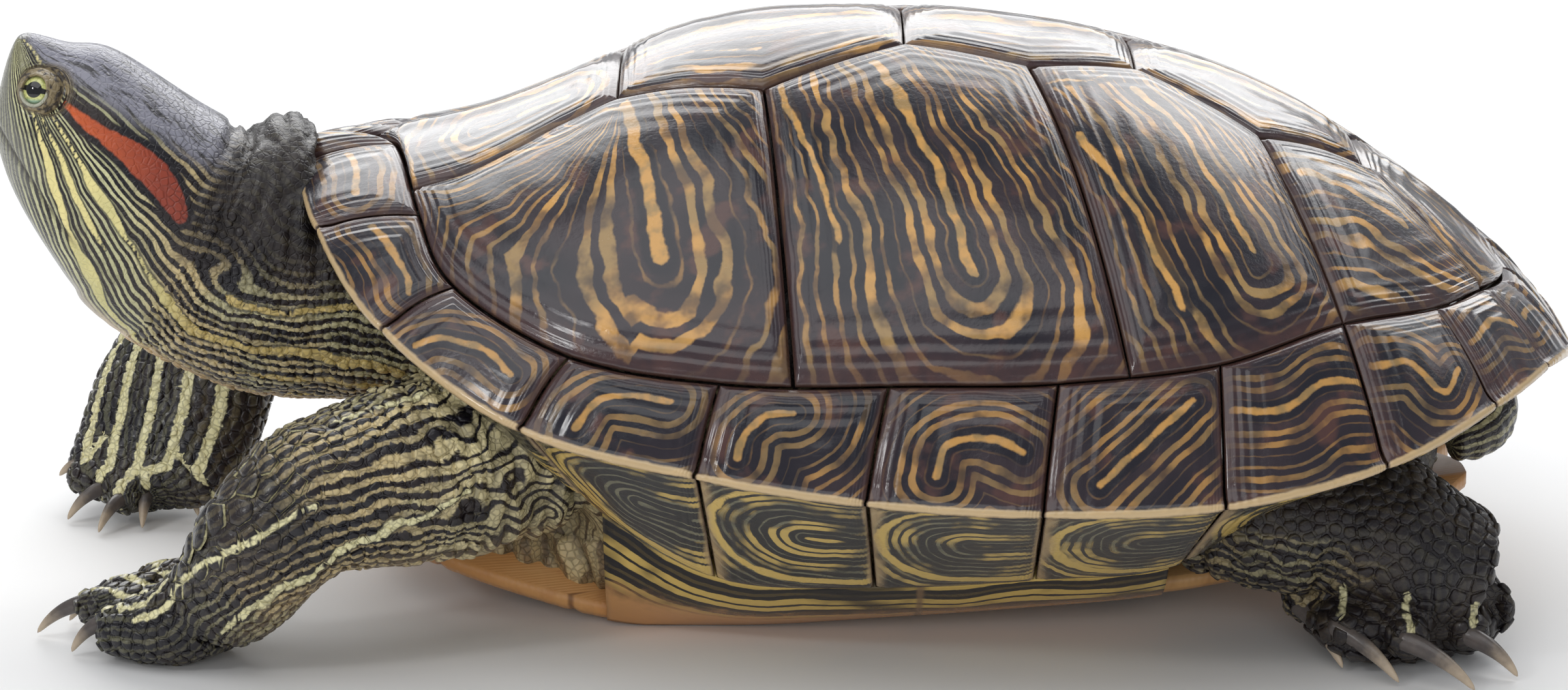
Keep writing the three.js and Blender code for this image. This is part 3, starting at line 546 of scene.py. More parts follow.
def marginal_plate(bundle, u0, u1, crescent, side, rows=58, columns=96):
    """One plate of the marginal ring between two seam indices; from -1 to 1 it crosses the middle."""
    gap = 0.006
    s, t = plate_grid(spread(rows, 0.4), np.linspace(0, 1, columns))
    u = mix(u0 + gap, u1 - gap, s)
    surface = marginal_surface(np.abs(u), t)
    surface[..., 1] *= side * np.where(u < 0, -1, 1)
    where = surface.reshape(-1, 3)
    normal = unit(np.cross(np.gradient(surface, axis=0), np.gradient(surface, axis=1)))
    normal = normal * np.sign(((surface - where.mean(axis=0)) * normal).sum())
    sides = edge_arcs(surface)
    rim_at = int(TOP_PART * (columns - 1))
    wide = sides[1][0].mean()
    deep = sides[3][:, rim_at].mean()
    upper = np.array([wide, sides[2][:, rim_at].mean()])
    lower = np.array([wide, deep])
    over = t < TOP_PART
    chart_up = np.stack([s.ravel(), (t / TOP_PART).ravel()], 1)
    chart_low = np.stack([s.ravel(), ((t - TOP_PART) / (1 - TOP_PART)).ravel()], 1)
    warp = np.stack([waves(where, 12, 6), waves(where, 12, 7)], 1) * 1.5
    bend = through(crescent, np.linspace(0, len(crescent) - 1, 15))
    gap_up, _ = near_line(chart_up * upper + warp, bend * upper)
    gap_low, _ = near_line(chart_low * lower + warp * 0.5, np.array([(0.62, 0.42), (1.05, 0.45)]) * lower)
    phase = np.where(over.ravel(), gap_up / TOP_PITCH, gap_low / LOW_PITCH)
    ring_half = 0.55 + 0.85 * chart_low[:, 1] + 0.5 * waves(where, 9, 10)
    bold = np.where(over.ravel(), 1.25 - gap_up, ring_half - np.abs(gap_low - 0.36 * deep - 0.12 * wide))
    rim_gap = np.abs(sides[2] - sides[2][:, rim_at:rim_at + 1])
    growth = least(side / weight for side, weight in zip(sides, (1.9, 0.7, 1.1, 0.8)))
    seam = least(sides)
    height = relief(seam, growth, waves(where, 22, 8).reshape(rows, columns))
    height *= np.where(over, 1, 0.6) * mix(0.35, 1, smooth(0, 4, rim_gap))
    shaped = surface + normal * height[..., None]
    heart = surface[rows // 2, [0, rim_at, columns - 1]].mean(axis=0)
    ring = border(rows, columns)
    faces = grid_faces(rows, columns)
    faces += [(index, ring[(k + 1) % len(ring)], rows * columns) for k, index in enumerate(ring)]
    marks = np.stack([phase, bold, growth.ravel()], 1)
    zones = np.stack([np.where(over, -rim_gap, rim_gap).ravel(), np.full(s.size, 0.6), seam.ravel()], 1)
    marks, zones = (np.concatenate([values, values[:1]]) for values in (marks, zones))
    bundle.add(np.concatenate([shaped.reshape(-1, 3), [heart]]), faces, marks=marks, zones=zones)


def marginals(side):
    """The twelve marginal plates of one side."""
    bundle = Bundle()
    for i, crescent in enumerate(CRESCENTS):
        marginal_plate(bundle, i + 1, i + 2, crescent, side)
    return bundle


# ---------------------------------------------------------------- materials


class Value:
    """The output of a shader node. Arithmetic with it adds math nodes."""

    def __init__(self, shader, socket):
        self.shader, self.socket = shader, socket

    def __add__(self, other):
        return self.shader.math("ADD", self, other)

    def __sub__(self, other):
        return self.shader.math("SUBTRACT", self, other)

    def __mul__(self, other):
        return self.shader.math("MULTIPLY", self, other)

    def __abs__(self):
        return self.shader.math("ABSOLUTE", self)


class Shader:
    """A node material or world being written: a call adds a node and gives back one output as a Value."""

    def __init__(self, name, owner=None, surface="Principled BSDF"):
        self.made = (bpy.data.materials if owner is None else owner).new(name)
        self.made.use_nodes = True
        self.tree = self.made.node_tree
        self.surface = self.tree.nodes[surface]

    def put(self, socket, value):
        if isinstance(value, Value):
            self.tree.links.new(value.socket, socket)
        elif isinstance(value, tuple) and len(value) == 3 and socket.type == "RGBA":
            socket.default_value = (*value, 1)
        else:
            socket.default_value = value

    def outputs(self, kind, inputs=None, **settings):
        """All outputs of a new node."""
        made = self.tree.nodes.new("ShaderNode" + kind)
        for key, value in settings.items():
            setattr(made, key, value)
        for key, value in (inputs or {}).items():
            self.put(made.inputs[key], value)
        return {socket.name: Value(self, socket) for socket in made.outputs if socket.enabled}

    def node(self, kind, inputs=None, output=None, **settings):
        """One output of a new node: the first that is in use, or the one with that name."""
        found = self.outputs(kind, inputs, **settings)
        return found[output] if output else next(iter(found.values()))

    def math(self, operation, a, b=0.0):
        return self.node("Math", {0: a, 1: b}, operation=operation)

    def mix(self, factor, a, b):
        """From colour a to colour b."""
        return self.node("Mix", {0: factor, 6: a, 7: b}, data_type="RGBA")

    def step(self, value, low, high, start=0.0, end=1.0):
        names = {"Value": value, "From Min": low, "From Max": high, "To Min": start, "To Max": end}
        return self.node("MapRange", names, interpolation_type="SMOOTHSTEP")

    def value(self, name):
        return self.node("Attribute", output="Fac", attribute_name=name)

    def marks(self, name):
        """The three numbers of a vertex mark."""
        return self.split(self.node("Attribute", output="Vector", attribute_name=name))

    def split(self, vector):
        return self.outputs("SeparateXYZ", {0: vector}).values()

    def place(self):
        return self.node("TexCoord", output="Object")

    def noise(self, per_mm, detail=3.0, rough=0.5, vector=None):
        vector = vector or self.place()
        inputs = {"Vector": vector, "Scale": per_mm / MM, "Detail": detail, "Roughness": rough}
        return self.node("TexNoise", inputs, "Fac")

    def patches(self, per_mm, detail, low, high, start=0.0, end=1.0):
        """Noise turned to patches: `start` where it is under low, `end` where it is over high."""
        return self.step(self.noise(per_mm, detail), low, high, start, end)

    def bump(self, height, distance, strength=1.0, normal=None):
        inputs = {"Height": height, "Distance": distance * MM, "Strength": strength}
        if normal:
            inputs["Normal"] = normal
        return self.node("Bump", inputs)

    def finish(self, **sockets):
        for key, value in sockets.items():
            self.put(self.surface.inputs[key.replace("_", " ")], value)
        return self.made


def stripes(shader, phase, width, jitter, softness=0.10):
    """Mask of lines at whole phases, and a random number that each line keeps."""
    index = shader.math("ROUND", phase)
    chance = shader.node("TexWhiteNoise", {"W": index}, "Value", noise_dimensions="1D")
    inside = chance * jitter + width - abs(phase - index)
    return shader.step(inside, -softness * 0.5, softness * 0.5), chance


HORN_IOR = 1.5
SLATE = (0.006, 0.006, 0.013)
UMBER = (0.029, 0.019, 0.025)
AMBER = (0.60, 0.32, 0.085)
OCHRE = (0.33, 0.21, 0.078)
RUSSET = (0.095, 0.040, 0.032)
CREAM = (0.62, 0.45, 0.24)
GOLD = (0.62, 0.43, 0.115)
INK = (0.006, 0.006, 0.009)
LICHEN = (0.25, 0.24, 0.15)
GROOVE = (0.060, 0.032, 0.025)


def shell_material():
    """Dark keratin with yellow stripes and bars, rings, worn gloss, and the pattern under the rim."""
    sh = Shader("shell_keratin")
    phase, bold, growth = sh.marks("marks")
    below, clear, seam = sh.marks("zones")
    fine = sh.noise(0.35, 3)
    coarse = sh.noise(0.05, 2)
    wander = (fine - 0.5) * 0.3 + phase * 1.3
    line, chance = stripes(sh, wander, 0.055, 0.13)
    patchy = sh.patches(0.16, 3, 0.36, 0.60, 0.25, 1.0)
    faint = chance * 0.6 + 0.35
    line = line * patchy * faint
    broad, _ = stripes(sh, wander, 0.15, 0.13)
    broad = broad * patchy * sh.step(chance, 0.68, 0.74)
    line = sh.math("MAXIMUM", line, broad) * clear
    base = sh.mix(sh.step(coarse, 0.35, 0.65), SLATE, UMBER)
    base = sh.mix(sh.patches(0.13, 3, 0.52, 0.68, 0.0, 0.75), base, RUSSET)
    tint = sh.mix(sh.patches(0.09, 2, 0.4, 0.62), OCHRE, AMBER)
    colour = sh.mix(line, base, tint)
    ragged = (fine - 0.5) * 1.2 + bold
    colour = sh.mix(sh.step(ragged, -1.5, -0.5, 0.0, 0.85), colour, SLATE)
    gilt = sh.mix(sh.patches(0.25, 3, 0.35, 0.6), OCHRE, AMBER)
    gilded = sh.step(ragged, 0.35, 0.8) * (clear * 0.4 + 0.6)
    colour = sh.mix(gilded, colour, gilt)
    # reddish-brown growth zone along the seams, with its own fine lines
    zone_noise = (sh.noise(0.12, 3) - 0.5) * 3.0 + growth
    zone = sh.step(zone_noise, 0.4, 2.6, 0.75, 0.0)
    colour = sh.mix(zone, colour, sh.mix(fine, RUSSET, UMBER))
    # the rim and the underside of the marginals
    under = sh.step(below, 0.6, 1.4)
    low_phase = (coarse - 0.5) * 2.4 + wander
    thin, low_chance = stripes(sh, low_phase, 0.07, 0.12)
    wide, _ = stripes(sh, low_phase, 0.24, 0.12)
    low = sh.mix(thin * patchy * 0.6, INK, LICHEN)
    streaked = sh.patches(0.07, 3, 0.46, 0.60, 0.0, 0.9)
    wide = wide * (streaked * sh.step(low_chance, 0.5, 0.55))
    low = sh.mix(wide, low, GOLD)
    low = sh.mix(sh.step(ragged, -0.2, 0.3), low, GOLD)
    pale = sh.step(zone_noise, 0.2, 1.6, 0.75, 0.0)
    low = sh.mix(pale, low, sh.mix(coarse, CREAM, OCHRE))
    colour = sh.mix(under, colour, low)
    edge = fine * 0.8 + below - 0.4
    rim = sh.step(abs(edge), 0.5, 1.2, 0.85, 0.0)
    is_rim = rim * sh.math("GREATER_THAN", abs(below), 0.0001)
    colour = sh.mix(is_rim, colour, CREAM)
    groove = sh.step(seam, 0.05, 0.6, 0.9, 0.0)
    colour = sh.mix(groove, colour, GROOVE)
    # fine striation that follows the growth rings, faint scratches and worn patches
    shaken = sh.noise(0.06, 3) * 2.2 + growth
    rings = sh.math("SINE", shaken * 7.0)
    ring_height = rings * sh.step(growth, 1.5, 6.0, 1.0, 0.06)
    grain = sh.noise(0.9, 4, 0.6)
    normal = sh.bump(ring_height, 0.07, 0.5)
    normal = sh.bump(grain, 0.22, 0.35, normal)
    worn = sh.step(sh.noise(0.08, 4, 0.6), 0.50, 0.72)
    rough = worn * 0.16 + (grain * 0.1 + 0.17)
    return sh.finish(
        Base_Color=colour, Roughness=rough, Normal=normal, IOR=HORN_IOR,
        Coat_Weight=0.4, Coat_Roughness=0.1,
    )


SHELL = shell_material()


# ---------------------------------------------------------------- the soft body, as in the CAD

# The head's own frame: its place, and its turn up and to the side.
HEAD_AT = np.array([-178.8, -9, 98.6])
HEAD_PITCH = math.radians(38)
HEAD_YAW = math.radians(7)
EYE = (3.7, 7.7, 3.4)  # centre of an eye: back from HEAD_AT, aside and up
EYE_RADIUS = 4.2
ORBIT = 4.85  # radius of the skin's bulge round the eyeball
MOUTH_AT = (-5, -5.4)  # distance and height of the mouth's front end
MOUTH_SLOPE = -0.34
NOSTRIL = (-3.8, 2.9, 8.8)  # its centre: back from HEAD_AT, aside and up
# [s, half width, widest level, top, bottom] of the head's cross sections.
HEAD_SECTIONS = [
    (-5.6, 1.8, 8, 9, 7), (-4.7, 4, 6.8, 10, 3.6), (-2.8, 6, 4.8, 10.9, -1.3),
    (-0.2, 8, 2.4, 11.9, -6.8), (3.5, 10.2, 0.5, 13.4, -11), (8, 12.6, -1, 16.4, -14.6),
    (13, 15, -2, 17.6, -17.6), (19, 17.2, -3, 18, -20.4), (25, 18.6, -3.5, 18.2, -22.8),
    (31, 19.4, -3.5, 18.5, -25), (37, 19.8, -3, 19.2, -26.6),
]
TURN = np.array(Matrix.Rotation(HEAD_YAW, 3, "Z"))
HEAD_BACK = TURN @ np.array([math.cos(HEAD_PITCH), 0, -math.sin(HEAD_PITCH)])
HEAD_UP = TURN @ np.array([math.sin(HEAD_PITCH), 0, math.cos(HEAD_PITCH)])
HEAD_LEFT = TURN @ np.array([0, -1, 0])


def on_head(s, l, h):
    """Points from distances back along the head, to its left and up."""
    s, l, h = (np.asarray(value, float)[..., None] for value in (s, l, h))
    return HEAD_AT + s * HEAD_BACK + l * HEAD_LEFT + h * HEAD_UP


def in_head(points):
    """Distances of points back along the head, to its left and up."""
    away = points - HEAD_AT
    return away @ HEAD_BACK, away @ HEAD_LEFT, away @ HEAD_UP


# Stations of the soft parts: [x, y, z, half width, half height].
NECK = [
    (-88, 1, 58, 24, 22), (-103, 0, 59, 24.5, 22), (-117, -1, 60, 24.5, 21), (-132, -3, 62.8, 23.5, 28.8),
    (*on_head(44, 0, -3), 20.6, 22.6), (*on_head(34, 0, -3), 19.4, 21),
]
NECK_LOW = [22, 23, 25, 26, 24.6, 23.2]  # the neck's half height downwards
# For each limb: stations of its three parts, its toes as (base, end of the flesh, tip of the claw), the
# radius of a toe, and the station of the lower part where the pale stripes to the toes start.
ARM_LEFT = dict(
    upper=[
        (-76, -42, 37, 15, 16), (-90, -52, 36, 16, 17), (-104, -61, 35, 15.5, 16.1),
        (-116, -67, 33.6, 14, 14), (-122.5, -69, 31, 12.4, 12.6),
    ],
    lower=[
        (-118, -67.2, 32.8, 13.8, 13.4), (-125.5, -69, 26, 13, 12.6), (-130.8, -67.5, 18.2, 11.6, 11.4),
        (-136.2, -64, 11.4, 11, 9.4),
    ],
    palm=[
        (-138, -63.5, 11, 11, 9), (-143, -61, 7.4, 12.5, 7.8), (-150, -57.5, 5.9, 12.5, 6.2),
        (-156, -55.5, 5.2, 11, 4.4),
    ],
    toes=[
        [(-139, -54, 11), (-146, -44, 9), (-151, -36, 0.9)],
        [(-143, -52, 12.5), (-152, -45, 10), (-160, -38, 0.9)],
        [(-148, -55, 10.6), (-159.5, -47.5, 8), (-167.5, -42, 0.9)],
        [(-150, -58, 9), (-163.5, -52, 7), (-172.6, -49.5, 0.9)],
        [(-146, -62, 8), (-158.5, -61.5, 6.2), (-164.5, -61, 0.9)],
    ],
    radius=3.7,
    striped=3,
)
ARM_RIGHT = dict(
    upper=[
        (-76, 42, 37, 15, 16), (-92, 53, 38.5, 16, 16), (-110, 60, 42, 15, 15),
        (-128, 62, 46, 14.5, 14.5), (-137, 61, 47, 13, 13),
    ],
    lower=[
        (-131, 62, 47.5, 14, 14), (-141.5, 59, 43, 17, 13), (-149.5, 53, 33, 19, 11.5),
        (-154.5, 46.5, 23.5, 20, 10.5), (-157.5, 40, 15, 19.5, 9),
    ],
    palm=[
        (-158, 39.5, 14.6, 19.5, 8.8), (-160, 35, 10.5, 19, 7), (-161.5, 31, 7.5, 17.5, 5.4),
        (-162.5, 27.5, 5.6, 15, 4.2),
    ],
    toes=[
        [(-164, 37, 10), (-172.5, 36.5, 9.5), (-180, 35.5, 7)],
        [(-164, 32, 7), (-170.5, 28.5, 5.8), (-177, 24.5, 0.9)],
        [(-163, 30, 6.5), (-166, 23, 5), (-169.5, 15.5, 0.9)],
        [(-161, 31, 6), (-161, 26, 4.8), (-161, 18.5, 0.9)],
        [(-157, 35, 6.4), (-153.5, 33.5, 4.8), (-150.5, 27, 0.9)],
    ],
    radius=3.7,
    striped=1,
)
LEG_LEFT = dict(
    upper=[
        (40, -30, 33, 15, 13), (48, -42, 31, 17, 14), (60, -52, 27.5, 16.5, 15), (73, -56, 24, 15, 13),
    ],
    lower=[
        (67.8, -51.6, 26.8, 15.4, 14.8), (80, -55.5, 24.5, 16, 14.5), (91, -56, 18.5, 16.5, 13),
        (100, -55.5, 15, 14, 11.5),
    ],
    palm=[
        (95, -43.5, 9, 8, 7), (93, -47, 10, 14, 9), (88.5, -55, 9.5, 20, 9), (88, -62, 7.5, 19, 7),
        (90, -68, 5.5, 14.5, 4.8),
    ],
    toes=[
        [(70, -52, 13), (68, -59.5, 8.4), (74.5, -70.5, 0.9)],
        [(77, -57, 11), (74, -69.5, 7.4), (84, -79, 0.9)],
        [(85, -61, 10), (86.3, -75.5, 6.9), (97.5, -83.5, 0.9)],
        [(97, -60, 8.6), (98.7, -69.5, 5.9), (106.5, -75.6, 0.9)],
    ],
    radius=4.3,
    striped=4,
)
TAIL = [
    (86, 7, 34, 9.5, 9), (97, 6, 35, 9, 8.6), (105, 2, 35.3, 8.2, 8), (108.8, -6, 33.4, 6.6, 6.6),
    (106, -13.5, 30, 4.8, 4.8), (100.5, -16.5, 28.4, 3, 3),
]
STEP = -7  # the right hind leg mirrors the left one and stands further forward


def mirror_leg(point):
    """A point or station of the left hind leg, for the right one."""
    return (point[0] + STEP, -point[1], *point[2:])


LEG_RIGHT = {key: [mirror_leg(p) for p in LEG_LEFT[key]] for key in ("lower", "palm")}
LEG_RIGHT["upper"] = [
    (38, 30, 33, 15, 13), (45, 42, 31, 17, 14), (53, 52, 27.5, 16.5, 15), (66, 56, 24, 15, 13),
]
LEG_RIGHT["toes"] = [[mirror_leg(p) for p in toe] for toe in LEG_LEFT["toes"]]
LEG_RIGHT["radius"] = LEG_LEFT["radius"]
LEG_RIGHT["striped"] = LEG_LEFT["striped"]
LIMBS = dict(front_left=ARM_LEFT, front_right=ARM_RIGHT, hind_left=LEG_LEFT, hind_right=LEG_RIGHT)


def frames(path):
    """Level and upright directions across a path of points."""
    heading = unit(np.gradient(path, axis=0))
    level = unit(np.cross([0, 0, 1.0], heading))
    upright = np.cross(heading, level)
    flip = np.where(upright[:, 2:] < 0, -1, 1)
    return level, upright * flip


def rounded_square(value, power):
    """A sine or cosine bent so that rings are fuller than circles."""
    return np.sign(value) * np.abs(value) ** power


def tube(stations, around=40, per_span=8, low=None, square=2.2):
    """Closed body along stations [x, y, z, half width, half height]."""
    u = np.linspace(0, len(stations) - 1, (len(stations) - 1) * per_span + 1)
    rows = through(stations, u)
    level, upright = frames(rows[:, :3])
    down = rows[:, 4] if low is None else np.interp(u, range(len(low)), low)
    angle = np.linspace(0, 2 * np.pi, around, endpoint=False)
    c, s = rounded_square(np.cos(angle), 2 / square), rounded_square(np.sin(angle), 2 / square)
    high = np.where(s[None, :] < 0, down[:, None], rows[:, 4:5]) * s
    aside = (rows[:, 3:4] * c)[..., None] * level[:, None]
    return rows[:, None, :3] + aside + high[..., None] * upright[:, None]


def ring_body(rings):
    """Points and faces of the closed body through rings."""
    rows, around = rings.shape[:2]
    faces = round_faces(rows, around)
    points = np.concatenate([rings.reshape(-1, 3), [rings[0].mean(axis=0), rings[-1].mean(axis=0)]])
    for j in range(around):
        k = (j + 1) % around
        faces.append((rows * around, k, j))
        faces.append((rows * around + 1, (rows - 1) * around + j, (rows - 1) * around + k))
    return points, faces


def head_rings(around=72, per_span=6):
    """Rings of head and jaws across the head's axis."""
    last = len(HEAD_SECTIONS) - 1
    sections = through(HEAD_SECTIONS, np.linspace(0, last, last * per_span + 1))
    angle = np.linspace(0, 2 * np.pi, around, endpoint=False)
    c, d = rounded_square(np.cos(angle), 0.9), rounded_square(np.sin(angle), 0.9)
    s, half, level, top, bottom = (sections[:, k:k + 1] for k in range(5))
    rise = np.where(d > 0, top - level, level - bottom)
    return on_head(s + 0 * c, half * c, level + rise * d)


TRUNK_FROM = -97
TRUNK_TO = 98
POCKET = 11  # how far the skin sinks between carapace and plastron, front and rear


def trunk_rings():
    """Rings of the trunk, which fills the shell and forms the pockets round neck and legs."""
    rings = []
    for x in np.linspace(TRUNK_FROM, TRUNK_TO, 40):
        reach = np.interp(x, INNER_LINE[:, 0], INNER_LINE[:, 1]) - 0.4
        wide, high = (np.interp(x, UNDER_LINE[:, 0], UNDER_LINE[:, k]) for k in (1, 2))
        half = along(PLASTRON_LINE, x, 1)
        floor_z = along(PLASTRON_LINE, x, 2) + PLASTRON + 0.5
        open_end = min(max((BRIDGE_FROM + 4 - x) / 10, (x - BRIDGE_TO + 4) / 10, 0), 1)
        ys = np.array([0, 0.33, 0.62, 0.85, 1]) * reach
        side = dome_point(np.full(5, x), ys) - dome_normal(np.full(5, x), ys) * 4
        side[-1, 1] -= 0.6
        wall = np.array([x, min(wide - 1.4, side[-1, 1]), min(high + 7, side[-1, 2] - 1)])
        sill = np.array([x, wide - 4.6, high + 3.8])
        low = np.array([x, half - 1.4, floor_z + 0.1])
        pocket = mix(sill, low, 0.5)
        pocket[1] -= POCKET * open_end
        low[1] -= POCKET * 0.5 * open_end
        left = np.array([*side[1:], wall, sill, pocket, low])
        right = left[::-1] * np.array([1, -1, 1])
        rings.append(np.array([side[0], *left, [x, 0, floor_z], *right]))
    return np.array(rings)


# ---------------------------------------------------------------- one skin

VOXEL = 0.72  # size of the cells that join the soft bodies into one skin


def toe_stations(toe, radius):
    """Stations of a toe, without its claw."""
    base, end, _ = (np.array(p, float) for p in toe)
    shares = ((0, 1.1, 1.0), (0.55, 1.0, 0.95), (1, 0.74, 0.74))
    return [(*mix(base, end, share), radius * wide, radius * high) for share, wide, high in shares]


def soft_parts():
    """Every soft body, as rings."""
    parts = [trunk_rings(), head_rings(), tube(NECK, 64, 8, NECK_LOW), tube(TAIL, 36)]
    for limb in LIMBS.values():
        parts += [tube(limb["upper"]), tube(limb["lower"]), tube(limb["palm"])]
        parts += [tube(toe_stations(toe, limb["radius"]), 24) for toe in limb["toes"]]
    return parts


def remeshed():
    """All soft bodies and the bulges round the eyes as one closed surface: points, faces and edges."""
    bundle = Bundle()
    for rings in soft_parts():
        bundle.add(*ring_body(rings))
    for side in (1, -1):
        ball = bmesh.new()
        bmesh.ops.create_icosphere(ball, subdivisions=4, radius=ORBIT)
        centre = on_head(EYE[0] + 0.5, side * (EYE[1] - 0.8), EYE[2] + 0.5)
        faces = [[v.index for v in f.verts] for f in ball.faces]
        bundle.add([np.array(v.co) + centre for v in ball.verts], faces)
        ball.free()
    rough = bundle.build("skin_blank", None)
    change = rough.modifiers.new("remesh", "REMESH")
    change.mode = "VOXEL"
    change.voxel_size = VOXEL * MM
    graph = bpy.context.evaluated_depsgraph_get()
    mesh = bpy.data.meshes.new_from_object(rough.evaluated_get(graph))
    bpy.data.objects.remove(rough)
    points = read(mesh.vertices, "co", 3).astype(float) / MM + REST
    faces = [tuple(f.vertices) for f in mesh.polygons]
    edges = read(mesh.edges, "vertices", 2, np.int32)
    bpy.data.meshes.remove(mesh)
    return points, faces, edges


def relaxed(points, edges, rounds, amount=0.5):
    """Points moved towards the mean of their neighbours."""
    count = np.bincount(edges.ravel(), minlength=len(points))[:, None]
    for _ in range(rounds):
        total = np.zeros_like(points)
        for k in range(points.shape[1]):
            total[:, k] = np.bincount(edges[:, 0], points[edges[:, 1], k], len(points))
            total[:, k] += np.bincount(edges[:, 1], points[edges[:, 0], k], len(points))
        points = points + amount * (total / np.maximum(count, 1) - points)
    return points


def normals_of(points, faces):
    """Outward unit normals at the points of a mesh of quads and triangles."""
    quads = np.array([f if len(f) == 4 else (*f, f[-1]) for f in faces])
    a, b, c, d = (points[quads[:, k]] for k in range(4))
    face = np.cross(c - a, d - b)
    total = np.zeros_like(points)
    for k in range(4):
        for axis in range(3):
            total[:, axis] += np.bincount(quads[:, k], face[:, axis], len(points))
    return unit(total)


# ---------------------------------------------------------------- charts on the skin


def fine_line(stations, per_span=12):
    """Closely spaced points, frames, radii and arc length along stations."""
    u = np.linspace(0, len(stations) - 1, (len(stations) - 1) * per_span + 1)
    rows = through([list(station)[:5] for station in stations], u)
    level, upright = frames(rows[:, :3])
    run = np.concatenate([[0], np.cumsum(np.linalg.norm(np.diff(rows[:, :3], axis=0), axis=1))])
    return dict(path=rows[:, :3], level=level, upright=upright, size=rows[:, 3:5], run=run)


def chart(points, line):
    """Where points lie about a line.

    run: distance along it. side, rise: distances level and upwards from it. angle: in degrees, 90 is up.
    ratio: distance from it against the body's radius. size: the mean radius.
    """
    gap, nearest = near_line(points, line["path"])
    i = np.minimum(nearest.astype(int), len(line["run"]) - 2)
    t = (nearest - i)[:, None]

    def here(name):
        value = line[name]
        value = value[:, None] if value.ndim == 1 else value
        return value[i] * (1 - t) + value[i + 1] * t

    away = points - here("path")
    side = (away * here("level")).sum(axis=1)
    rise = (away * here("upright")).sum(axis=1)
    radii = here("size")
    return SimpleNamespace(
        run=here("run")[:, 0], side=side, rise=rise, angle=np.degrees(np.arctan2(rise, side)),
        ratio=gap / radii.max(axis=1), size=radii.mean(axis=1),
    )


def head_chain():
    """The line through head and neck, from the snout to the shell, with radii."""
    head = [
        (*on_head(s, 0, level), half, (top - bottom) / 2)
        for s, half, level, top, bottom in HEAD_SECTIONS[2:-1]
    ]
    return fine_line(head + NECK[-2::-1])


def limb_chain(limb):
    """The line through a limb's three parts."""
    return fine_line(limb["upper"][:-1] + limb["lower"][1:] + limb["palm"][1:])


# The thin lines of head and neck run between two edges, given as (arc length from the snout, degrees above
# the widest level): the lower edge of the red patch, and the broad stripe of the jaw.
RED_EDGE = np.array([
    (0, 24), (8, 24), (14, 21), (21, 18), (25, 16), (29, 13), (33, 10), (39, 7), (46, 5), (60, 0),
    (90, -2),
], float)
JAW_EDGE = np.array([
    (0, 2), (4.5, -5), (9, -13), (13.5, -20), (18, -27), (23, -36), (27, -41), (30, -44), (34, -49),
    (40, -57), (50, -62), (64, -64), (90, -66),
], float)
FLOW_LINES = 13  # thin lines between the two edges
THIN_LINE = 5.6  # degrees between the thin lines outside them
# Pale ribbons along that flow: (arc length, line number, half width in mm).
RIBBONS = [
    [
        (3.5, 12.6, 0.3), (9, 12.8, 0.75), (13.5, 13, 1.2), (18, 13, 0.95), (23, 13, 0.8),
        (27, 13, 1.1), (30, 13, 1.9), (34, 13, 1.5), (40, 13, 0.8), (50, 13, 0.6), (64, 13, 0.5),
        (80, 13, 0),
    ],
    [
        (7, 4.6, 0.1), (12, 4.8, 0.4), (16, 5, 0.5), (20, 5, 0.9), (24, 5.1, 1.4), (28, 5.2, 1.0),
        (33, 5.3, 0.35), (38, 5.4, 0.35), (43, 5.6, 0.6), (46.5, 5.8, 1.3), (50, 6, 1.2),
        (55, 6.2, 0.9), (61, 6, 1.05), (67, 5.6, 0.95), (72, 6, 1.1), (78, 6.6, 1.0), (90, 7, 0.9),
    ],
    [
        (6, 8.6, 0.1), (11, 8.8, 0.5), (15, 9, 0.7), (20, 9, 0.85), (25, 9, 0.6), (31, 9, 0.2),
    ],
    [
        (54, 1.2, 0.1), (55.5, 1.3, 0.8), (59, 1.5, 0.8), (64, 1.6, 0.6), (72, 1.3, 0.6), (86, 1, 0.55),
    ],
    [
        (60, 9.3, 0.2), (66, 9.2, 0.8), (74, 9.4, 0.8), (90, 9.6, 0.7),
    ],
]
NOSE_STROKE = [(-4.6, 40, 0.4), (-2.0, 41, 0.35), (0.0, 40, 0.2)]
RED_STROKE = [
    (8, 27, 0.5), (11, 26, 0.9), (14, 26, 1.2), (17, 27, 1.3), (21, 28, 2.0), (25, 28, 2.6),
    (29, 26, 2.8), (33, 22, 2.6), (36, 18, 2.2), (39, 14, 1.7),
]
ARM_STROKE = [(50, 16, 0.4), (60, 18, 0.6), (70, 24, 0.65), (80, 24, 0.6), (90, 16, 0.5)]
ARM_REAR = [(26, 2, 0.5), (36, -12, 0.9), (46, -24, 0.9), (56, -34, 0.8), (66, -40, 0.8), (74, -38, 0.5)]
ARM_CREST = [(16, 78, 0.5), (30, 72, 0.6), (44, 74, 0.4)]
CHAIN_START = -2.8  # head distance where the chain's arc length starts


def stroke(run, angle, size, line):
    """Signed distance (mm, positive inside) to a brush stroke in chart space."""
    line = np.array(line, float)
    scale = np.pi / 180 * size
    best = np.full(len(run), -9.0)
    for a, b in zip(line[:-1], line[1:]):
        ex, ey = b[0] - a[0], (b[1] - a[1]) * scale
        px, py = run - a[0], (angle - a[1]) * scale
        t = np.clip((px * ex + py * ey) / np.maximum(ex * ex + ey * ey, 1e-9), 0, 1)
        gap = np.hypot(px - t * ex, py - t * ey)
        best = np.maximum(best, mix(a[2], b[2], t) - gap)
    return best


def ribbon(run, count, pitch, line):
    """Signed distance (mm, positive inside) to a ribbon along the thin lines: `count` numbers them."""
    line = np.array(line, float)
    half = np.interp(run, line[:, 0], line[:, 2], left=-3, right=-3)
    return half - np.abs(count - np.interp(run, line[:, 0], line[:, 1])) * pitch


TOE_SPREAD = 0.36  # share of the half width between neighbouring toe stripes
TOE_REACH = 11  # a longer step than this ends a stripe


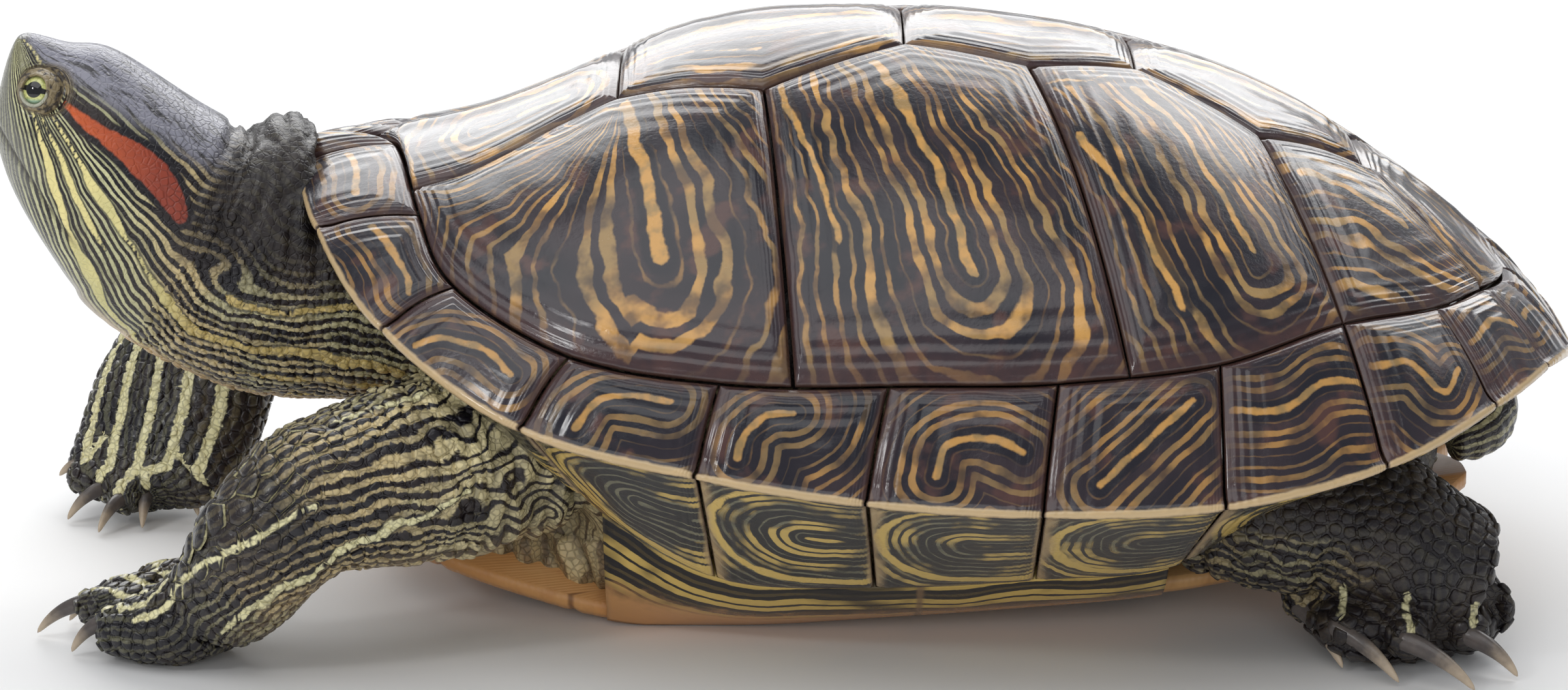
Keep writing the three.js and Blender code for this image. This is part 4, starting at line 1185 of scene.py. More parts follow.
def toe_lines(limb):
    """Lines over the back of the forearm and each toe, with the outward direction at each point."""
    rise = np.array([0, 0, limb["radius"]])
    over_arm = [("lower", i) for i in range(limb["striped"], len(limb["lower"]))]
    over_hand = [("palm", i) for i in (1, 2)] if over_arm else []
    axes = {part: frames(np.array([spot[:3] for spot in limb[part]], float)) for part in ("lower", "palm")}
    lines = []
    for k, toe in enumerate(limb["toes"]):
        base, end = (np.array(p, float) for p in toe[:2])
        aside = (k - 2) * TOE_SPREAD
        path, outward = [], []
        for part, i in over_arm + over_hand:
            *centre, wide, high = limb[part][i]
            level, upright = axes[part]
            path.append(centre + level[i] * wide * aside + upright[i] * high * math.sqrt(1 - aside * aside))
            outward.append(upright[i])
        for spot in (0.7, 1.0) if path else (0.0, 0.3, 0.6, 1.0):
            point = mix(base, end, spot) + rise * (1 - 0.3 * spot)
            if not path or np.linalg.norm(point - path[-1]) < TOE_REACH:
                path.append(point)
                outward.append(np.array([0, 0, 1.0]))
        lines.append((np.array(path), np.array(outward)))
    return lines


def ridges(run, around, long_period, round_period, seed):
    """Wrinkles from 0 to 1: sharp valleys between rounded folds, in chart space."""
    spots = np.stack([run / long_period, around / round_period, np.full(len(run), seed * 7.3)], 1)
    return np.minimum(np.abs([noise.noise(Vector(q)) for q in spots]) * 2.6, 1)


def head_skin(p, name, lines):
    """Head and neck: thin lines, ribbons, red patch, crown, throat, mouth, nostrils and folds."""
    on = chart(p, lines[name])
    size = on.size
    s, l, h = in_head(p)
    section = np.array(HEAD_SECTIONS)
    level = np.interp(s, section[:, 0], section[:, 2])
    front = 1 - smooth(30, 44, s)
    turned = np.degrees(np.arctan2(h - level, np.abs(l)))
    neck_turned = np.degrees(np.arctan2(on.rise, np.abs(on.side)))
    angle = mix(neck_turned, turned, front)
    run = np.where(front > 0.999, s, mix(on.run + CHAIN_START, s, front))
    # thin lines
    warp = waves(p, 16, 11) * 3.5 + waves(p, 6, 12, 1) * 1.5
    parting = 9 * dip(run, 52, 7) * np.tanh((angle + 1) / 7)
    sag = smooth(44, 70, run) * 4 * np.sin(run / 7) + waves(p, 4.0, 13, 1) * smooth(8, 20, run)
    flow = angle + warp - parting + sag
    above = np.interp(run, RED_EDGE[:, 0], RED_EDGE[:, 1])
    below = np.interp(run, JAW_EDGE[:, 0], JAW_EDGE[:, 1])
    pitch = (above - below) / FLOW_LINES
    phase = np.where(flow > above, (above - flow) / THIN_LINE, (above - flow) / pitch)
    phase = np.where(flow < below, FLOW_LINES + (below - flow) / THIN_LINE, phase)
    step = np.radians(np.where((flow > above) | (flow < below), THIN_LINE, pitch)) * size
    pale = np.maximum.reduce([ribbon(run, phase, step, line) for line in RIBBONS])
    # tones
    # crown: the top of the head, which the material paints with a pale sheen colour
    crown = smooth(38, 50, angle) * (1 - smooth(35, 46, run)) * np.where(s > -4, 1, 0.6)
    strength = (1 - crown) * mix(1, 0.10, smooth(36, 46, run) * smooth(-8, 20, angle))
    cream = smooth(-60, -72, angle) * smooth(2, 14, run)
    cream = np.maximum(cream, 0.6 * smooth(-12, -42, angle) * (1 - smooth(6, 18, run)))
    nape = smooth(36, 46, run) * smooth(-12, 18, angle)
    # mouth and nostrils: sunk, with painted shade in the mouth line and the nostril pits
    mouth = h - (MOUTH_AT[1] + MOUTH_SLOPE * (s - MOUTH_AT[0]))
    on_mouth = (1 - smooth(22, 28, s)) * smooth(-7, -5, s)
    slit = dip(mouth, 0, 0.45) * on_mouth
    nostril = np.hypot(np.hypot(s - NOSTRIL[0], np.abs(l) - NOSTRIL[1]), h - NOSTRIL[2])
    lift = -0.55 * slit + 0.2 * dip(mouth, 1.2, 0.8) * on_mouth - 0.7 * dip(nostril, 0, 0.8)
    # folds of the nape, the loose ring behind the head, and rows of beads on the neck
    arc = np.radians(angle) * size
    folds = ridges(run, arc, 4.4, 13, 1) * 0.7 + ridges(run, arc, 2.6, 6, 2) * 0.4
    lift += (folds - 0.5) * (1.5 * nape + 0.5 * smooth(36, 48, run) * (1 - nape))
    lobe = smooth(47, 50.5, run) * (1 - smooth(54, 65, run))
    lift += smooth(15, 50, angle) * (0.9 * lobe - 1.6 * dip(run, 46.6, 1.3) - 1.6 * smooth(65, 69, run))
    beads = 0.5 + 0.5 * np.cos(2 * np.pi * run / 2.1 + np.round(phase) * 2.1)
    lift += 0.3 * np.cos(2 * np.pi * phase) * beads * smooth(42, 52, run) * (1 - nape)
    # painted shade in the mouth line, the nostril pits and the valleys of the nape's folds; the nape darker
    # all over
    shade = slit * 0.9 + dip(nostril, 0, 0.7) + nape * (0.45 + 0.5 * smooth(0.6, 0.2, folds))
    return dict(
        phase=phase, strength=strength, pale=np.maximum(pale, stroke(run, angle, size, NOSE_STROKE)),
        red=stroke(run, angle + warp * 0.25, size, RED_STROKE), crown=crown, cream=cream,
        shade=np.clip(shade, 0, 1), lift=lift, run=run, angle=angle,
    )


def limb_stripes(p, limb, half):
    """Signed distance (mm, positive inside) to the stripes that run to the claws."""
    stripe = np.full(len(p), -9.0)
    for path, outward in toe_lines(limb):
        _, nearest = near_line(p, path)
        i = np.minimum(nearest.astype(int), len(path) - 2)
        ahead = path[i + 1] - path[i]
        away = p - (path[i] + (nearest - i)[:, None] * ahead)
        across = np.abs((away * unit(np.cross(outward[i], ahead))).sum(axis=1))
        beyond = np.maximum(np.abs((away * unit(ahead)).sum(axis=1)) - 0.3, 0)
        depth = np.abs((away * outward[i]).sum(axis=1))
        stripe = np.maximum(stripe, half - across - np.maximum(depth - 4.5, 0) - beyond)
    return stripe


def limb_skin(p, name, lines):
    """One limb: lines that run along it and turn to a maze near the shell, stripes to the claws, folds."""
    on = chart(p, lines[name])
    run, angle = on.run, on.angle
    share = run / lines[name]["run"][-1]
    front = name.startswith("front")
    maze = (1 - smooth(0.2, 0.42, share)) if front else (1 - smooth(0.3, 0.6, share)) * 0.6
    warp = waves(p, 12, 21) * mix(8, 30, maze) + waves(p, 5, 22, 1) * mix(3, 14, maze)
    stripe = limb_stripes(p, LIMBS[name], 1.05 if name == "front_right" else 0.62)
    if name == "front_left":
        shaken = angle + waves(p, 6, 23, 1) * 9
        for turned, line in ((angle, ARM_STROKE), (angle, ARM_CREST), (shaken, ARM_REAR)):
            stripe = np.maximum(stripe, stroke(run, turned, on.size, line))
    hand = smooth(0.62, 0.8, share)
    if front:
        plated = np.maximum(smooth(0.44, 0.54, share) * smooth(-30, 10, angle), 0.9 * hand)
        cream = 0.3 * smooth(-30, -70, angle) * (1 - hand)
        look = dict(strength=1 - 0.86 * plated, kind=1 + maze, cream=cream)
    else:
        look = dict(strength=0.06 + 0.6 * (1 - smooth(0.3, 0.62, share)) * smooth(45, 0, angle), kind=1)
    seed = REGIONS.index(name)
    arc = np.radians(angle) * on.size
    loose = 1 - smooth(0.12, 0.4, share)
    folds = ridges(run, arc, 3.4, 15, 3 + seed)
    lift = (folds - 0.5) * (loose * 2.2 + dip(share, 0.47, 0.05) * 0.7)
    lift += ridges(run, arc, 5, 5, 9 + seed) * 0.3
    # painted shade in the valleys of the loose folds near the body; the hind legs darker all over
    shade = (0.0 if front else 0.35) + 0.5 * loose * smooth(0.45, 0.1, folds)
    spacing = mix(9.5, 13, maze) if front else 9
    phase = (angle + warp) / spacing
    return dict(phase=phase, pale=stripe, shade=shade, lift=lift, run=share, angle=angle, **look)


def tail_skin(p, name, lines):
    """The tail: lines along it and folds round it."""
    on = chart(p, lines[name])
    lift = ridges(on.run, np.radians(on.angle) * on.size, 3, 9, 17) * 0.6 - 0.3
    return dict(phase=(on.angle + waves(p, 6, 31) * 12) / 24, strength=0.9, kind=1, lift=lift)


def trunk_skin(p, *_):
    """The loose skin of the pockets: a bold maze in front, dark behind."""
    x, _, z = p.T
    rear = x > 0
    folds = ridges(x, z, 5, 14, 19)
    # painted shade in the valleys of the folds; the pockets behind darker all over
    creases = 0.6 * smooth(0.4, 0.05, folds)
    return dict(
        phase=waves(p, 12, 41) * 1.1 + x / 3.4, strength=np.where(rear, 0.35, 1.0),
        kind=np.where(rear, 1.0, 1.9), cream=np.where(rear, 0.0, 0.45 * smooth(34, 20, z)),
        shade=np.where(rear, 0.75, creases), lift=folds * 2.6 - 1.3,
    )


# ---------------------------------------------------------------- assembling the skin

REGIONS = ["neck", "front_left", "front_right", "hind_left", "hind_right", "tail", "trunk"]
SKIN_OF = dict(neck=head_skin, **dict.fromkeys(LIMBS, limb_skin), tail=tail_skin, trunk=trunk_skin)
POCKET_RATIO = 1.4  # beyond this many radii from every line, skin belongs to the trunk
# The vertex marks: thin lines (kind: 0 head, 1 limbs, up to 2 maze), strokes (mm inside them), tones
# (crown, painted with a pale sheen; cream; shade, which paints shade in creases, pits and under the shell).
MARKS = dict(
    lines=("phase", "strength", "kind"), strokes=("pale", "red", "lid"), tones=("crown", "cream", "shade"),
)
# The values of skin without marks. `lift` is a height in mm; `run` and `angle` are the place in the chart.
BARE = dict(
    phase=0, strength=0, kind=0, pale=-9, red=-9, lid=0, crown=0, cream=0, shade=0, lift=0, run=0, angle=0,
)


def vertex_marks(fields):
    """The skin's values packed three by three."""
    return {name: np.stack([fields[key] for key in keys], 1) for name, keys in MARKS.items()}


def part_lines():
    """The middle line of each part of the skin."""
    lines = {name: limb_chain(limb) for name, limb in LIMBS.items()}
    return dict(lines, neck=head_chain(), tail=fine_line(TAIL))


def region_of(p, lines):
    """The number in REGIONS of the part that each skin point belongs to."""
    ratios = {name: chart(p, lines[name]).ratio for name in REGIONS[:-1]}
    ratios["neck"] = np.where(in_head(p)[0] < 34, 0.0, ratios["neck"])
    for name, limb in LIMBS.items():
        for toe in limb["toes"]:
            gap, _ = near_line(p, toe[:2])
            ratios[name] = np.minimum(ratios[name], gap / limb["radius"] * 0.8)
    ratios = np.array(list(ratios.values()))
    return np.where(ratios.min(axis=0) > POCKET_RATIO, REGIONS.index("trunk"), ratios.argmin(axis=0))


def skin_fields(p, lines):
    """Every value named in BARE, and the region, for skin points."""
    fields = {key: np.full(len(p), value, float) for key, value in BARE.items()}
    fields["region"] = region_of(p, lines)
    for k, name in enumerate(REGIONS):
        here = fields["region"] == k
        if here.any():
            for key, values in SKIN_OF[name](p[here], name, lines).items():
                fields[key][here] = values
    # Skin just under the carapace's plates, seen through the gaps between them: lines and strokes off,
    # painted shade.
    x, y, z = p.T
    covered = (np.abs(y) < np.interp(x, INNER_LINE[:, 0], INNER_LINE[:, 1]) - 2)
    covered &= (dome_height(x, y) - z < 9) & (np.abs(x) < 112)
    for key, value in dict(strength=0, pale=-9, crown=0, cream=0, shade=1).items():
        fields[key][covered] = value
    return fields


def eye_axis(side):
    """The direction in which an eye looks."""
    return unit(side * HEAD_LEFT + HEAD_UP * 0.10 - HEAD_BACK * 0.55)


def eye_frame(side):
    """Centre, outward axis, forward-to-back direction and up direction of one eye."""
    centre = on_head(EYE[0], side * EYE[1], EYE[2])
    axis = eye_axis(side)
    up = unit(np.array([0, 0, 1.0]) - axis * axis[2])
    along_face = unit(np.cross(up, axis)) * side
    return centre, axis, along_face, up


OPENING = 2.75  # radius of the opening between the lids
LID_REACH = 4.6


def lid_reach(angle):
    """How far the lids' own skin runs from the eye's axis: furthest towards the back and the crown."""
    return LID_REACH + 3.4 * np.maximum(np.cos(angle), 0) + 1.1 * np.maximum(np.sin(angle), 0)


def lid_patch(side, tree):
    """The lids of one eye: a fine patch that rolls over the eyeball and runs out into the face."""
    centre, axis, back, up = eye_frame(side)
    turns, rows = 120, 46
    theta = np.linspace(0, 2 * np.pi, turns, endpoint=False)
    points, lids = [], []
    for t in np.linspace(0, 1, rows):
        roll = min(t / 0.10, 1)
        out = max(t - 0.10, 0) / 0.90
        for angle in theta:
            reach = float(lid_reach(angle))
            rho = OPENING - 0.1 + 0.25 * roll + (reach - OPENING) * out
            squeeze = 1 - 0.12 * (1 - smooth(0.1, 0.6, out))  # the opening is a little higher than long
            x = rho * math.cos(angle) * squeeze
            y = rho * math.sin(angle)
            flat = centre + back * x + up * y
            ball = math.sqrt(max((EYE_RADIUS + 0.7) ** 2 - x * x - y * y, 0.3))
            hit = tree.ray_cast(Vector(flat + axis * 9), Vector(-axis), 16)[0]
            ground = (np.array(hit) - flat) @ axis if hit else 0.0
            share = float(smooth(0.30, 0.85, out))
            height = mix(ball, ground + 0.15, share) - 0.7 * float(smooth(0.88, 1.0, out))
            start = math.sqrt(max(EYE_RADIUS**2 - x * x - y * y, 0.3)) - 0.25
            height = mix(start, height, math.sin(roll * math.pi / 2))
            wrinkle = math.sin(rho * 2 * math.pi / 0.62 + 0.8 * math.sin(angle * 3)) * 0.08
            wrinkle += math.sin(angle * 26 + math.sin(rho * 5)) * 0.03
            height += wrinkle * float(smooth(0.1, 0.3, out) * (1 - smooth(0.7, 0.95, out)))
            height += 0.16 * math.exp(-(((rho - OPENING - 0.4) / 0.22) ** 2))
            points.append(flat + axis * height)
            low = smooth(0.1, -0.5, math.sin(angle)) * (1 - smooth(OPENING + 0.45, OPENING + 0.8, rho))
            lids.append(float(1 - smooth(0.55, 0.95, out)) + float(low))
    faces = round_faces(rows, turns)
    # close it on the inside, behind the eyeball's front
    back_ring = np.array(points[-turns:]) - axis * 1.6
    front_ring = np.array(points[:turns]) - axis * 0.8
    inner = len(points)
    points = np.concatenate([points, front_ring, back_ring])
    outer = inner + turns
    for j in range(turns):
        k = (j + 1) % turns
        faces.append((j, inner + j, inner + k, k))
        faces.append((inner + j, outer + j, outer + k, inner + k))
        faces.append((outer + j, inner - turns + j, inner - turns + k, outer + k))
    return points, faces, np.concatenate([lids, np.zeros(2 * turns)])


def sink_eyes(p):
    """Skin behind the opening of the lids drawn in, so that the eyeball shows."""
    for side in (1, -1):
        centre, axis, back, up = eye_frame(side)
        away = p - centre
        rho = np.hypot(away @ back, away @ up)
        out = (rho - OPENING) / (lid_reach(np.arctan2(away @ up, away @ back)) - OPENING)
        near = (away @ axis > 0) & (out < 1) & (np.linalg.norm(away, axis=1) < 11)
        depth = 2.6 * (1 - smooth(0.15, 0.6, out)) + 0.5 * (1 - smooth(0.75, 0.95, out))
        p = p - axis * np.where(near, depth, 0)[:, None]
    return p


def keep_inside(p):
    """Skin drawn in under the carapace and over the plastron, which a limb's root would pass through."""
    x, y, z = p.T
    lid = dome_height(x, y) - 4.6
    inner = np.interp(x, INNER_LINE[:, 0], INNER_LINE[:, 1])
    under_plate = (np.abs(y) < inner + 2) & (x > -104) & (x < 104)
    z = np.where(under_plate, np.minimum(z, lid), z)
    half = along(PLASTRON_LINE, x, 1)
    floor_z = along(PLASTRON_LINE, x, 2) + PLASTRON + 0.3
    over_plate = (np.abs(y) < half - 0.5) & (x > -113) & (x < 103)
    z = np.where(over_plate, np.maximum(z, floor_z), z)
    return np.stack([x, y, z], 1)


def skin():
    """The one skin, and the points, normals and fields that the scales need."""
    lines = part_lines()
    points, faces, edges = remeshed()
    points = keep_inside(relaxed(points, edges, 5))
    tree = BVHTree.FromPolygons(points.tolist(), faces)
    normal = normals_of(points, faces)
    fields = skin_fields(points, lines)
    shaped = sink_eyes(points + normal * relaxed(fields["lift"][:, None], edges, 1))
    shaped[:, 2] = np.maximum(shaped[:, 2], 0.0)
    bundle = Bundle()
    bundle.add(shaped, faces, **vertex_marks(fields))
    for side in (1, -1):
        lid, lid_faces, amount = lid_patch(side, tree)
        bundle.add(lid, lid_faces, **vertex_marks(dict(skin_fields(lid, lines), lid=amount)))
    return bundle, shaped, normals_of(shaped, faces), fields


# ---------------------------------------------------------------- scales over the skin

SCALE_GAP = 0.82  # how much of its cell a scale fills
SCALE_HEIGHT = 0.17  # height of its dome against its size
SCALE_CELL = 1.6  # size of the cells in which neighbours are looked up
BAKE_PATCH = 0.003  # size of a scale's patch in the UV map
SCALE_CORNERS = 12  # corners of a scale before its neighbours cut it


def scale_sizes(fields):
    """Distance between scale centres (mm) for every skin point, 0 where there are none."""
    size = np.zeros(len(fields["run"]))
    for k, name in enumerate(REGIONS[:5]):
        here = fields["region"] == k
        run, angle, pale = (fields[key][here] for key in ("run", "angle", "pale"))
        if name == "neck":
            scaly = (run > 45) & (angle < mix(30, 12, smooth(45, 60, run)))
            size[here] = np.where(scaly, 1.45 + 0.5 * (pale > -0.3), 0)
        elif name.startswith("front"):
            outer = dip(angle, 60, 50)
            plates = mix(2.0, 4.6, dip(run, 0.62, 0.13) * outer) * mix(1.0, 1.15, outer)
            size[here] = np.where(run < 0.22, 0, plates)
        else:
            grown = mix(1.9, 2.7, smooth(0.4, 0.7, run)) * np.where(angle < -40, 1.15, 1)
            size[here] = np.where(run < 0.15, 0, grown)
    return size


def scattered(p, size, order):
    """Indices of points kept, in that order, so that neighbours lie about one size apart."""
    kept, taken = [], {}
    for index in order:
        x, y, z = p[index]
        home = (int(x // SCALE_CELL), int(y // SCALE_CELL), int(z // SCALE_CELL))
        span = int(math.ceil(size[index] / SCALE_CELL))
        cells = itertools.product(*(range(at - span, at + span + 1) for at in home))
        for other in itertools.chain.from_iterable(taken.get(near, ()) for near in cells):
            limit = 0.5 * (size[index] + size[other])
            q = p[other]
            if (q[0] - x) ** 2 + (q[1] - y) ** 2 + (q[2] - z) ** 2 < limit * limit:
                break
        else:
            taken.setdefault(home, []).append(index)
            kept.append(index)
    return kept


def clipped(polygon, normal, limit):
    """The part of a convex polygon where point . normal <= limit."""
    result = []
    count = len(polygon)
    for i in range(count):
        a, b = polygon[i], polygon[(i + 1) % count]
        da = a[0] * normal[0] + a[1] * normal[1] - limit
        db = b[0] * normal[0] + b[1] * normal[1] - limit
        if da <= 0:
            result.append(a)
        if da * db < 0:
            t = da / (da - db)
            result.append((a[0] + (b[0] - a[0]) * t, a[1] + (b[1] - a[1]) * t))
    return result


def balanced_tree(points):
    """A tree that finds the points near a place."""
    tree = KDTree(len(points))
    for i, point in enumerate(points):
        tree.insert(point, i)
    tree.balance()
    return tree


def scale_outline(kept, k, p, size, tree, across, other):
    """The cell of scale k between its neighbours, as (across, other) in its own plane."""
    centre, reach = p[kept[k]], size[kept[k]]
    corners = np.linspace(0, 2 * math.pi, SCALE_CORNERS + 1)[:-1]
    polygon = [(reach * 0.8 * math.cos(a), reach * 0.8 * math.sin(a)) for a in corners]
    for spot, j, gap in tree.find_n(centre, 12):
        if j == k or gap > reach * 2.2:
            continue
        away = np.array(spot) - centre
        flat = (float(away @ across), float(away @ other))
        length = math.hypot(*flat)
        if length < 1e-6:
            continue
        share = reach / (reach + size[kept[j]])
        polygon = clipped(polygon, (flat[0] / length, flat[1] / length), length * share)
        if len(polygon) < 3:
            break
    return np.array(polygon)


def scales(p, normal, fields):
    """Domed scales packed over the limbs, each in the cell between its neighbours."""
    size = scale_sizes(fields)
    candidates = np.where(size > 0)[0]
    kept = scattered(p, size, candidates[rng.permutation(len(candidates))])
    tree = balanced_tree(p[kept])
    points, faces, patches, outline = [], [], [], []
    for i, index in enumerate(kept):
        centre, up, reach = p[index], normal[index], size[index]
        across = unit(np.cross(up, [0.3, 0.5, 0.81]))
        other = np.cross(up, across)
        shape = scale_outline(kept, i, p, size, tree, across, other)
        count = len(shape)
        if count < 3:
            continue
        middle = shape.mean(axis=0)
        height = SCALE_HEIGHT * reach
        start = len(points)
        rings = ((SCALE_GAP + 0.1, -0.35), (SCALE_GAP, height * 0.55), (SCALE_GAP * 0.68, height * 0.95))
        for fill, rise in rings:
            for spot in middle + (shape - middle) * fill:
                points.append(centre + across * spot[0] + other * spot[1] + up * rise)
        for rise in (height * 1.1, -0.5):
            points.append(centre + across * middle[0] + other * middle[1] + up * rise)
        plate = reach > 2.6 and fields["region"][index] in (1, 2)
        outline += [0.4 if plate else -9] * count + [-0.5 if plate else -9] * count + [-9] * (count + 2)
        patches += [i] * (3 * count + 2)
        top = start + 3 * count
        faces += [tuple(start + corner for corner in face) for face in round_faces(3, count)]
        for a in range(count):
            b = (a + 1) % count
            faces.append((start + 2 * count + a, start + 2 * count + b, top))
            faces.append((start + b, start + a, top + 1))
    skin_tree = balanced_tree(p[candidates])
    near = candidates[np.array([skin_tree.find(q)[1] for q in points])]
    marks = {key: values[near] for key, values in fields.items()}
    marks["pale"] = np.maximum(marks["pale"], outline)
    bundle = Bundle()
    bundle.add(points, faces, **vertex_marks(marks))
    return bundle, np.array(patches)


def add_bake_map(made, patches):
    """A UV map in which each scale is a patch about 0.003 across."""
    layer = made.data.uv_layers.new(name="OFBake")
    columns = int(math.ceil(math.sqrt(patches.max() + 1)))
    step = 1.0 / columns
    points = read(made.data.vertices, "co", 3)
    low = np.full((patches.max() + 1, 3), 1e9)
    high = -low
    np.minimum.at(low, patches, points)
    np.maximum.at(high, patches, points)
    span = np.maximum((high - low).max(axis=1), 1e-6)
    local = (points - low[patches]) / span[patches][:, None]
    patch = min(BAKE_PATCH, step * 0.9)
    u = (patches % columns) * step + patch * local[:, 0]
    v = (patches // columns) * step + patch * (local[:, 1] + local[:, 2]) * 0.5
    loops = read(made.data.loops, "vertex_index", 1, np.int32)[:, 0]
    layer.data.foreach_set("uv", np.stack([u[loops], v[loops]], 1).ravel().astype(np.float32))


# ---------------------------------------------------------------- eyes and claws


def eyeball(side):
    """A globe with a low cornea; marks give the place on the eye seen from its front, in mm."""
    centre, axis, back, up = eye_frame(side)
    turns, rows = 72, 48
    points, gaze = [], []
    for i in range(rows + 1):
        tilt = math.pi * i / rows
        for j in range(turns):
            angle = 2 * math.pi * j / turns
            x = math.sin(tilt) * math.cos(angle) * EYE_RADIUS
            y = math.sin(tilt) * math.sin(angle) * EYE_RADIUS
            cornea = 0.22 * math.exp(-((math.hypot(x, y) / 2.2) ** 2)) * (tilt < math.pi / 2)
            z = math.cos(tilt) * EYE_RADIUS + cornea
            points.append(centre + back * x + up * y + axis * z)
            gaze.append((x, y, z))
    bundle = Bundle()
    bundle.add(points, round_faces(rows + 1, turns), gaze=gaze)
    return bundle


def claw_rings(toe, radius):
    """A curved, tapering claw, deeper than wide, and how far along it each ring lies."""
    _, end, tip = (np.array(p, float) for p in toe)
    start = mix(end, tip, -0.12)
    middle = mix(end, tip, 0.5) + [0, 0, 1.3]
    t = np.linspace(0, 1, 22)
    path = arch(start, middle, tip, t[:, None])
    level, upright = frames(path)
    wide = radius * np.clip(1 - t, 0, 1) ** 0.62 * 0.92 + 0.12
    deep = radius * np.clip(1 - t, 0, 1) ** 0.55 * 1.05 + 0.12
    angle = np.linspace(0, 2 * np.pi, 20, endpoint=False)
    crest = np.where(np.sin(angle) > 0, 1.0, 0.82)
    rings = path[:, None] + (wide[:, None] * np.cos(angle))[..., None] * level[:, None]
    rings = rings + (deep[:, None] * (np.sin(angle) * crest))[..., None] * upright[:, None]
    rings[..., 2] = np.maximum(rings[..., 2], 0.02)
    return rings, np.repeat(t, len(angle))


def claws(limb, radius):
    """The claws of one limb; their mark runs from 0 at the root to 1 at the tip."""
    bundle = Bundle()
    for toe in limb["toes"]:
        rings, t = claw_rings(toe, radius)
        bundle.add(*ring_body(rings), horn=np.concatenate([t, [0, 1]]))
    return bundle


# ---------------------------------------------------------------- plastron and bridges

PLASTRON_SEAMS = [-114, -92, -66, -34, 14, 58, 104]  # gular, humeral, pectoral, abdominal, femoral, anal


def plastron():
    """The lower shell: a slab with twelve plates marked out by grooves on its underside."""
    xs = np.linspace(PLASTRON_SEAMS[0], PLASTRON_SEAMS[-1], 260)
    x, side = np.meshgrid(xs, np.linspace(-1, 1, 110), indexing="ij")
    half = along(PLASTRON_LINE, xs, 1)[:, None]
    z = along(PLASTRON_LINE, xs, 2)[:, None] + np.zeros(x.shape)
    x = x - 5 * np.exp(-(((x - PLASTRON_SEAMS[-1]) / 5) ** 2)) * np.exp(-((side / 0.35) ** 2))
    y = side * half
    curves = [np.abs(x - (seam + 5 * side**2 * np.sign(seam))) for seam in PLASTRON_SEAMS[1:-1]]
    seam = least(curves + [np.abs(y)])
    edge = (1 - np.abs(side)) * half
    groove = 0.55 * np.exp(-((seam / 0.55) ** 2))
    ripple = 0.10 * np.sin(seam * 2.2) * np.exp(-seam / 5) * (seam > 0.8)
    rounded = 1.6 * np.exp(-((edge / 1.3) ** 1.5))
    lower = np.stack([x, y, np.maximum(z + groove + ripple + rounded, np.maximum(z, 0))], -1)
    upper = np.stack([x, y, z + PLASTRON], -1)
    blotch = least(
        np.hypot((x - (a + b) / 2) / (0.30 * (b - a)), (np.abs(side) - 0.5) / 0.24)
        for a, b in zip(PLASTRON_SEAMS[:-1], PLASTRON_SEAMS[1:])
    )
    marks = np.stack([seam.ravel(), edge.ravel(), blotch.ravel()], 1)
    bundle = Bundle()
    add_patch(bundle, lower, upper, np.array([0, 0, PLASTRON]), belly=marks)
    return bundle


def bridge(side):
    """The wall that joins plastron and carapace, bowed and marked with long stripes."""
    rows, columns = 90, 40
    xs = np.linspace(BRIDGE_FROM, BRIDGE_TO, rows)
    wide, high = (np.interp(xs, UNDER_LINE[:, 0], UNDER_LINE[:, k])[:, None] for k in (1, 2))
    half = along(PLASTRON_LINE, xs, 1)[:, None] - 0.8
    z = along(PLASTRON_LINE, xs, 2)[:, None]
    t = np.linspace(0, 1, columns)[None, :]
    bow = 1.6 * 0.8 * np.sin(np.pi * t)
    x = np.repeat(xs[:, None], columns, 1)
    outer = np.stack([x, side * (mix(wide - 0.4, half, t) + bow), mix(high + 0.6, z + 0.15, t) - bow], -1)
    inner = np.stack([x, side * mix(wide - 3.4, half - 1, t), mix(high + 3.2, z + PLASTRON, t)], -1)
    where = outer.reshape(-1, 3)
    sides = edge_arcs(outer)
    phase = (sides[2].ravel() + waves(where, 18, 51) * 3.0) / 3.2
    centre_seam = np.abs(x.ravel() + 4 + waves(where, 30, 52) * 2)
    marks = np.stack([phase, least(sides).ravel(), centre_seam], 1)
    share = t.repeat(rows, 0).reshape(-1, 1)
    bundle = Bundle()
    add_patch(bundle, outer, inner, inner[rows // 2, columns // 2], bridge=marks, share=share)
    return bundle


# ---------------------------------------------------------------- materials of the soft body

CHARCOAL = (0.006, 0.005, 0.008)
BARK = (0.022, 0.015, 0.014)
LINE_GREEN = (0.50, 0.46, 0.26)
LINE_YELLOW = (0.62, 0.49, 0.25)
CHEEK_LINE = (0.62, 0.61, 0.34)
MAZE_YELLOW = (0.78, 0.68, 0.38)
PALE_YELLOW = (0.82, 0.72, 0.31)
PALE_GREEN = (0.62, 0.57, 0.25)
NECK_GOLD = (0.56, 0.43, 0.16)
HAND_PALE = (0.74, 0.69, 0.40)
ORANGE_RED = (0.66, 0.125, 0.026)
BRICK = (0.27, 0.042, 0.020)
# Pale grey of the crown: painted sheen on the top of the head; the dark streaks are its own marbling.
CROWN_SHEEN = (0.25, 0.25, 0.30)
CROWN_STREAK = (0.050, 0.048, 0.052)
THROAT = (0.58, 0.40, 0.20)
# Dark brown of painted shade, and of the nape, hind legs and rear pockets, which are darker all over.
NAPE_AND_SHADE = (0.016, 0.011, 0.009)
CHIN = (0.30, 0.30, 0.27)


